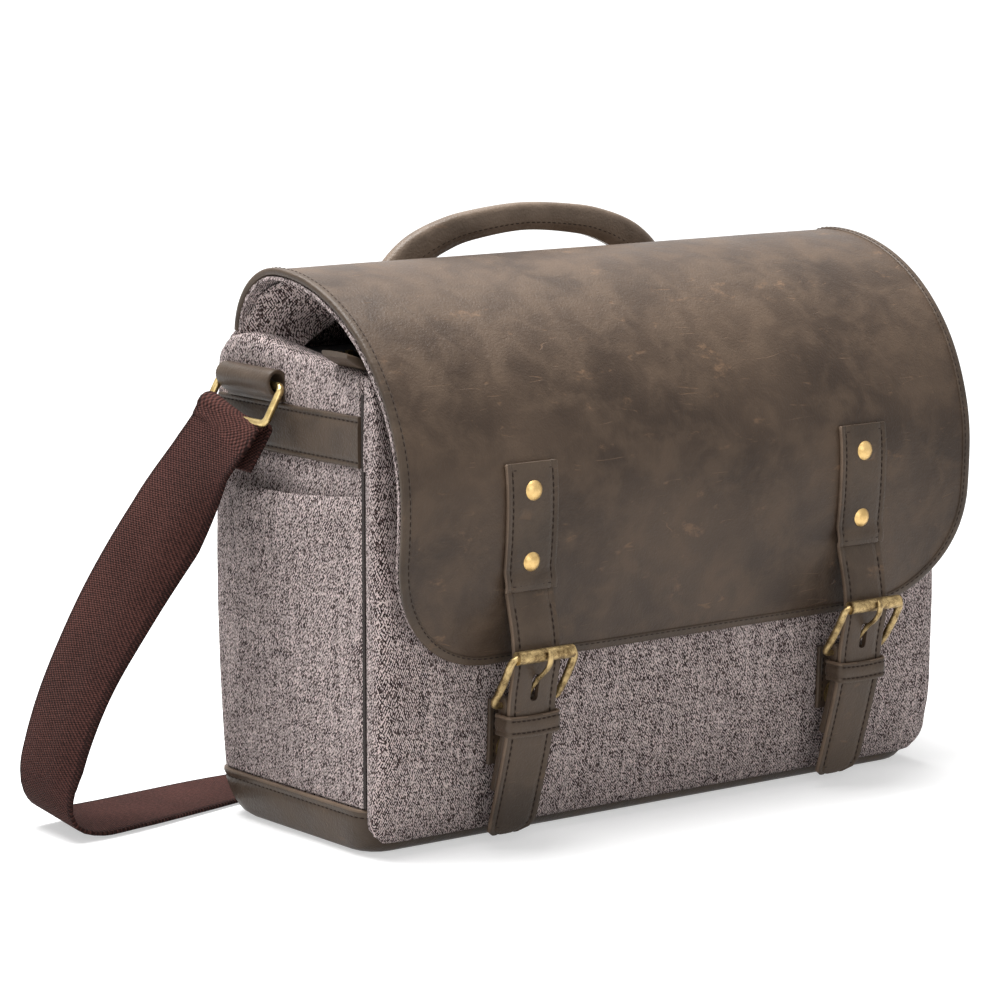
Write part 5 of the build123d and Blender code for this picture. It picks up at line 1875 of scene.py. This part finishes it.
# ------------------------------------------------------------------ the shoulder strap
@dataclass
class ShoulderStrap:
    """Ring loops, rings, the webbing and its slide."""

    wardrobe: Wardrobe
    y: float = 24.0
    low_bar: tuple[float, float] = (204.9, 214.96)
    wrap: float = 3.5
    wide: float = 50.0
    thick: float = 2.4
    bend_end: float = 212.0

    def build(self) -> None:
        """Make the pieces on both sides."""
        for side in Side:
            self.loop(side)
            self.wardrobe.refinish(f"{side.word}_ring", Finish.GOLD)
        self.webbing()
        self.wardrobe.refinish("strap_slide", Finish.ANTIQUE)

    def loop(self, side: Side) -> None:
        """Leather loop that holds a ring, doubled and sewn below it.

        Args:
            side: which side.
        """
        knots = [(189.3, 224.5), (189.3, 231.0), (189.4, 236.0), (191.0, 239.3), (194.4, 240.4),
                 (198.0, 239.0), (199.7, 235.4), (198.4, 231.4), (195.6, 228.4), (192.6, 226.2),
                 (191.6, 224.6)]
        line = through(knots, 1.3)
        run = []
        for i, (x, z) in enumerate(line):
            over, up = heading(line, i)
            run.append(Station(Vector((side.value * x, self.y, z)), Vector((0, 1, 0)),
                               Vector((-up * side.value, 0, over))))
        name = f"{side.word}_ring_loop"
        loop = sweep(f"{name}_leather", run, lambda i: band_section(47.6, 2.0, 0.8, 6))
        self.wardrobe.dress(loop, Body.BAG, Slot.LEATHER, [Finish.LEATHER], [name])

    def around(self, side: Side, run: tuple[float, float], lead: float,
               tail: float) -> list[np.ndarray]:
        """Webbing's middle from its sewn end, round a ring's bar and off outside.

        Args:
            side: which side.
            run: direction of the webbing away from the bar.
            lead: length outside.
            tail: length of the sewn return inside.

        Returns:
            Points of x, y, z and twist.
        """
        u = Vector((run[0], run[1])).normalized()
        n = Vector((-side.value * u.y, side.value * u.x))
        bar = Vector((side.value * self.low_bar[0], self.low_bar[1]))
        back = bar - n * self.wrap
        points = [back + u * d for d in np.linspace(tail, 4, max(3, round(tail / 6)))]
        start = math.atan2(-n.y, -n.x)
        turn = math.atan2(-u.y, -u.x) - start
        turn = (turn + math.pi) % (2 * math.pi) - math.pi
        for share in np.linspace(0, 2, 13):
            angle = start + turn * share
            points.append(bar + Vector((math.cos(angle), math.sin(angle))) * self.wrap)
        out = bar + n * self.wrap
        points += [out + u * d for d in np.linspace(4, lead, max(2, round(lead / 6)))]
        tilt = 17.0 if side is Side.LEFT else 0.0
        return [np.array((p.x, self.y, p.y, tilt)) for p in points]

    def course(self) -> tuple[list[Station], int, int]:
        """The webbing's run from ring to ring, along the floor behind the bag.

        Returns:
            Its stations, and where the run leaves the left ring and meets the right one.
        """
        left = [(-220, 30, 196, 16), (-237, 42, 165, 34), (-256, 56, 126, 32), (-274, 66, 87, 18),
                (-286, 71, 54, 13), (-290, 75, 28, 11), (-285, 75, 11.6, 8), (-271, 75, 5, 5),
                (-246, 79, 3.8, 3), (-205, 89.5, 2.6, 1.5)]
        floor = [(x, 101 - 2 * (x / 165) ** 2, 1.75, 0) for x in range(-165, 166, 33)]
        right = [(245, 34, 78, 6), (258, 54, 44, 9), (262, 69, 25, 9), (257, 75, 12.8, 5),
                 (241, 80, 5.4, 3), (205, 89.5, 2.8, 1.5)]
        first = self.around(Side.LEFT, (-11.0, -16.5), 8.0, 24.0)
        last = self.around(Side.RIGHT, (27.0, -105.0), 100.0, 95.0)[::-1]
        knots = first[-2:] + [np.array(p, float) for p in left + floor + right[::-1]] + last[:2]
        line = first[:-2] + through(knots, 4.0) + last[2:]
        run = []
        for i, (x, y, z, twist) in enumerate(line):
            before, after = line[max(i - 1, 0)], line[min(i + 1, len(line) - 1)]
            way = Vector((after - before)[:3]).normalized()
            turn = math.radians(twist)
            across = Vector((0, math.cos(turn), math.sin(turn)))
            across = (across - way * across.dot(way)).normalized()
            run.append(Station(Vector((x, y, z)), across, way.cross(across)))
        return run, len(first) + 3, len(line) - len(last)

    def webbing(self) -> None:
        """One long webbing in two lengths, which meet on the floor and wrap round the rings' bars.
        """
        run, start, end = self.course()
        section = band_section(self.wide, self.thick, 1.0, 12)
        marks = np.r_[0, np.cumsum([(b.at - a.at).length for a, b in zip(run, run[1:])])]

        def cupped(i: int) -> list[tuple[float, float]]:
            free = min(marks[i] - marks[start], marks[end] - marks[i]) / 60.0
            full = 4.0 + 8.0 * math.exp(-max(free, 0.0) * 0.6)
            bend = full * ramp(free * 1.4, 0.0, 1.0) * ramp(run[i].at.z, 12.0, 30.0)
            return [(a, b + bend * max(0.0, (abs(a) - 6.0) / 19.0) ** 2 * (1.0 if a < 0 else 0.3))
                    for a, b in section]

        middle = min(range(len(run)), key=lambda i: abs(run[i].at.x))
        spread = np.array([a for a, _ in section] + [section[0][0]]) * MM
        for side, first, last, nodes, still in (
                (Side.LEFT, 0, middle, ["webbing"], 110.0),
                (Side.RIGHT, middle, len(run) - 1, [], 186.0)):
            band = sweep(f"{side.word}_shoulder_webbing", run[first:last + 1],
                         lambda i: cupped(i + first))
            rows = marks[first:last + 1] * MM
            for corner in band.data.uv_layers.active.data:
                column, row = corner.uv[0] * len(section), corner.uv[1] * (len(rows) - 1)
                corner.uv = (float(np.interp(column, range(len(spread)), spread)),
                             float(np.interp(row, range(len(rows)), rows)))
            self.wardrobe.dress(band, None, Slot.WEBBING, [Finish.WEBBING], nodes, 60.0)
            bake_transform(band)


# ------------------------------------------------------------------ the studio
@dataclass
class Studio:
    """Pale floor, soft lights and the camera."""

    camera_at: tuple[float, float, float] = (-1.2981, -1.6294, 0.4914)
    pitch: float = 9.15
    yaw: float = 37.38
    lens: float = 141.4

    def build(self) -> None:
        """Make the studio."""
        self.floor()
        self.world()
        self.lamp("top_light", (-0.25, 0.35, 2.0), (0.0, 0.0, 0.15), 1.6, 104.0)
        self.lamp("front_light", (-1.0, -2.2, 1.2), (0.0, 0.0, 0.12), 1.5, 13.5)
        self.lamp("left_light", (-2.4, -0.2, 1.3), (0.0, 0.0, 0.12), 1.3, 3.5)
        self.camera()

    def floor(self) -> None:
        """Wide floor that looks white and keeps the shadow."""
        deselect()
        bpy.ops.mesh.primitive_plane_add(size=24.0, location=(0.0, 0.0, -0.0004))
        plane = bpy.context.object
        plane.name = "studio_floor"
        s = Shader("studio_floor")
        tone = s.speckle(s.place(), 3.0, 2.0)
        s.finish(s.mix(s.times(tone, 0.05), (0.58, 0.58, 0.58), (0.55, 0.55, 0.55)), 0.9, None,
                 Specular_IOR_Level=0.1)
        reach = s.add("VectorMath", operation="LENGTH")
        s.give(reach.inputs[0], s.place())
        far = s.steps(reach.outputs["Value"], 0.5, 3.0)
        glow = s.add("Emission", Color=(1.0, 1.0, 1.0), Strength=s.plus(0.50, s.times(far, 0.48)))
        seen = s.seen()
        dark = s.add("Emission", Color=(0.0, 0.0, 0.0), Strength=0.0)
        pick = s.add("MixShader")
        both = s.add("AddShader")
        output = s.tree.nodes["Material Output"]
        for socket, value in ((pick.inputs[0], seen), (pick.inputs[1], dark.outputs[0]),
                              (pick.inputs[2], glow.outputs[0]),
                              (both.inputs[0], s.surface.outputs[0]),
                              (both.inputs[1], pick.outputs[0]),
                              (output.inputs["Surface"], both.outputs[0])):
            s.give(socket, value)
        plane.data.materials.append(s.material)

    def world(self) -> None:
        """White surroundings, with less light on the bag than the eye sees."""
        world = bpy.data.worlds.new("studio_world")
        world.use_nodes = True
        nodes = Nodes(world.node_tree)
        backdrop = nodes.tree.nodes["Background"]
        backdrop.inputs["Color"].default_value = (1.0, 1.0, 1.0, 1.0)
        level = nodes.add("MapRange", Value=nodes.seen())
        level.inputs["To Min"].default_value = 0.27
        level.inputs["To Max"].default_value = 1.0
        nodes.give(backdrop.inputs["Strength"], level.outputs["Result"])
        bpy.context.scene.world = world

    def lamp(self, name: str, at: Sequence[float], aim: Sequence[float], size: float,
             power: float) -> None:
        """A square soft light.

        Args:
            name: its name.
            at: where it is, in metres.
            aim: the point it faces.
            size: its width.
            power: its power in watts.
        """
        deselect()
        bpy.ops.object.light_add(type="AREA", location=at)
        lamp = bpy.context.object
        lamp.name = name
        lamp.data.size = size
        lamp.data.energy = power
        way = Vector(aim) - Vector(at)
        lamp.rotation_euler = way.to_track_quat("-Z", "Y").to_euler()

    def camera(self) -> None:
        """The camera at its low three-quarter place."""
        deselect()
        bpy.ops.object.camera_add(location=self.camera_at,
                                  rotation=(math.radians(90 - self.pitch), 0.0,
                                            math.radians(-self.yaw)))
        camera = bpy.context.object
        camera.name = "studio_camera"
        camera.data.lens = self.lens
        camera.data.sensor_width = 36.0
        bpy.context.scene.camera = camera
        bpy.context.scene.view_settings.view_transform = "Standard"


def corners(box: Iterable[Iterable[float]]) -> list[list[float]]:
    """A box's corners as plain lists."""
    return [[float(v) for v in corner] for corner in box]


def main() -> None:
    """Build the bag's pieces and the studio."""
    logging.basicConfig(level=logging.INFO, format="%(name)s: %(message)s")
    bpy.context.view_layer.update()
    wardrobe = Wardrobe()
    body = PaddedBody(wardrobe)
    body.build()
    pockets = Pockets(wardrobe, body)
    pockets.build()
    Zip(wardrobe).build()
    Flap(wardrobe).build()
    Handle(wardrobe).build()
    for side in Side:
        Closure(wardrobe, side).build()
    SnapTabs(wardrobe, pockets).build()
    ShoulderStrap(wardrobe).build()
    Studio().build()


if __name__ == "__main__":
    main()
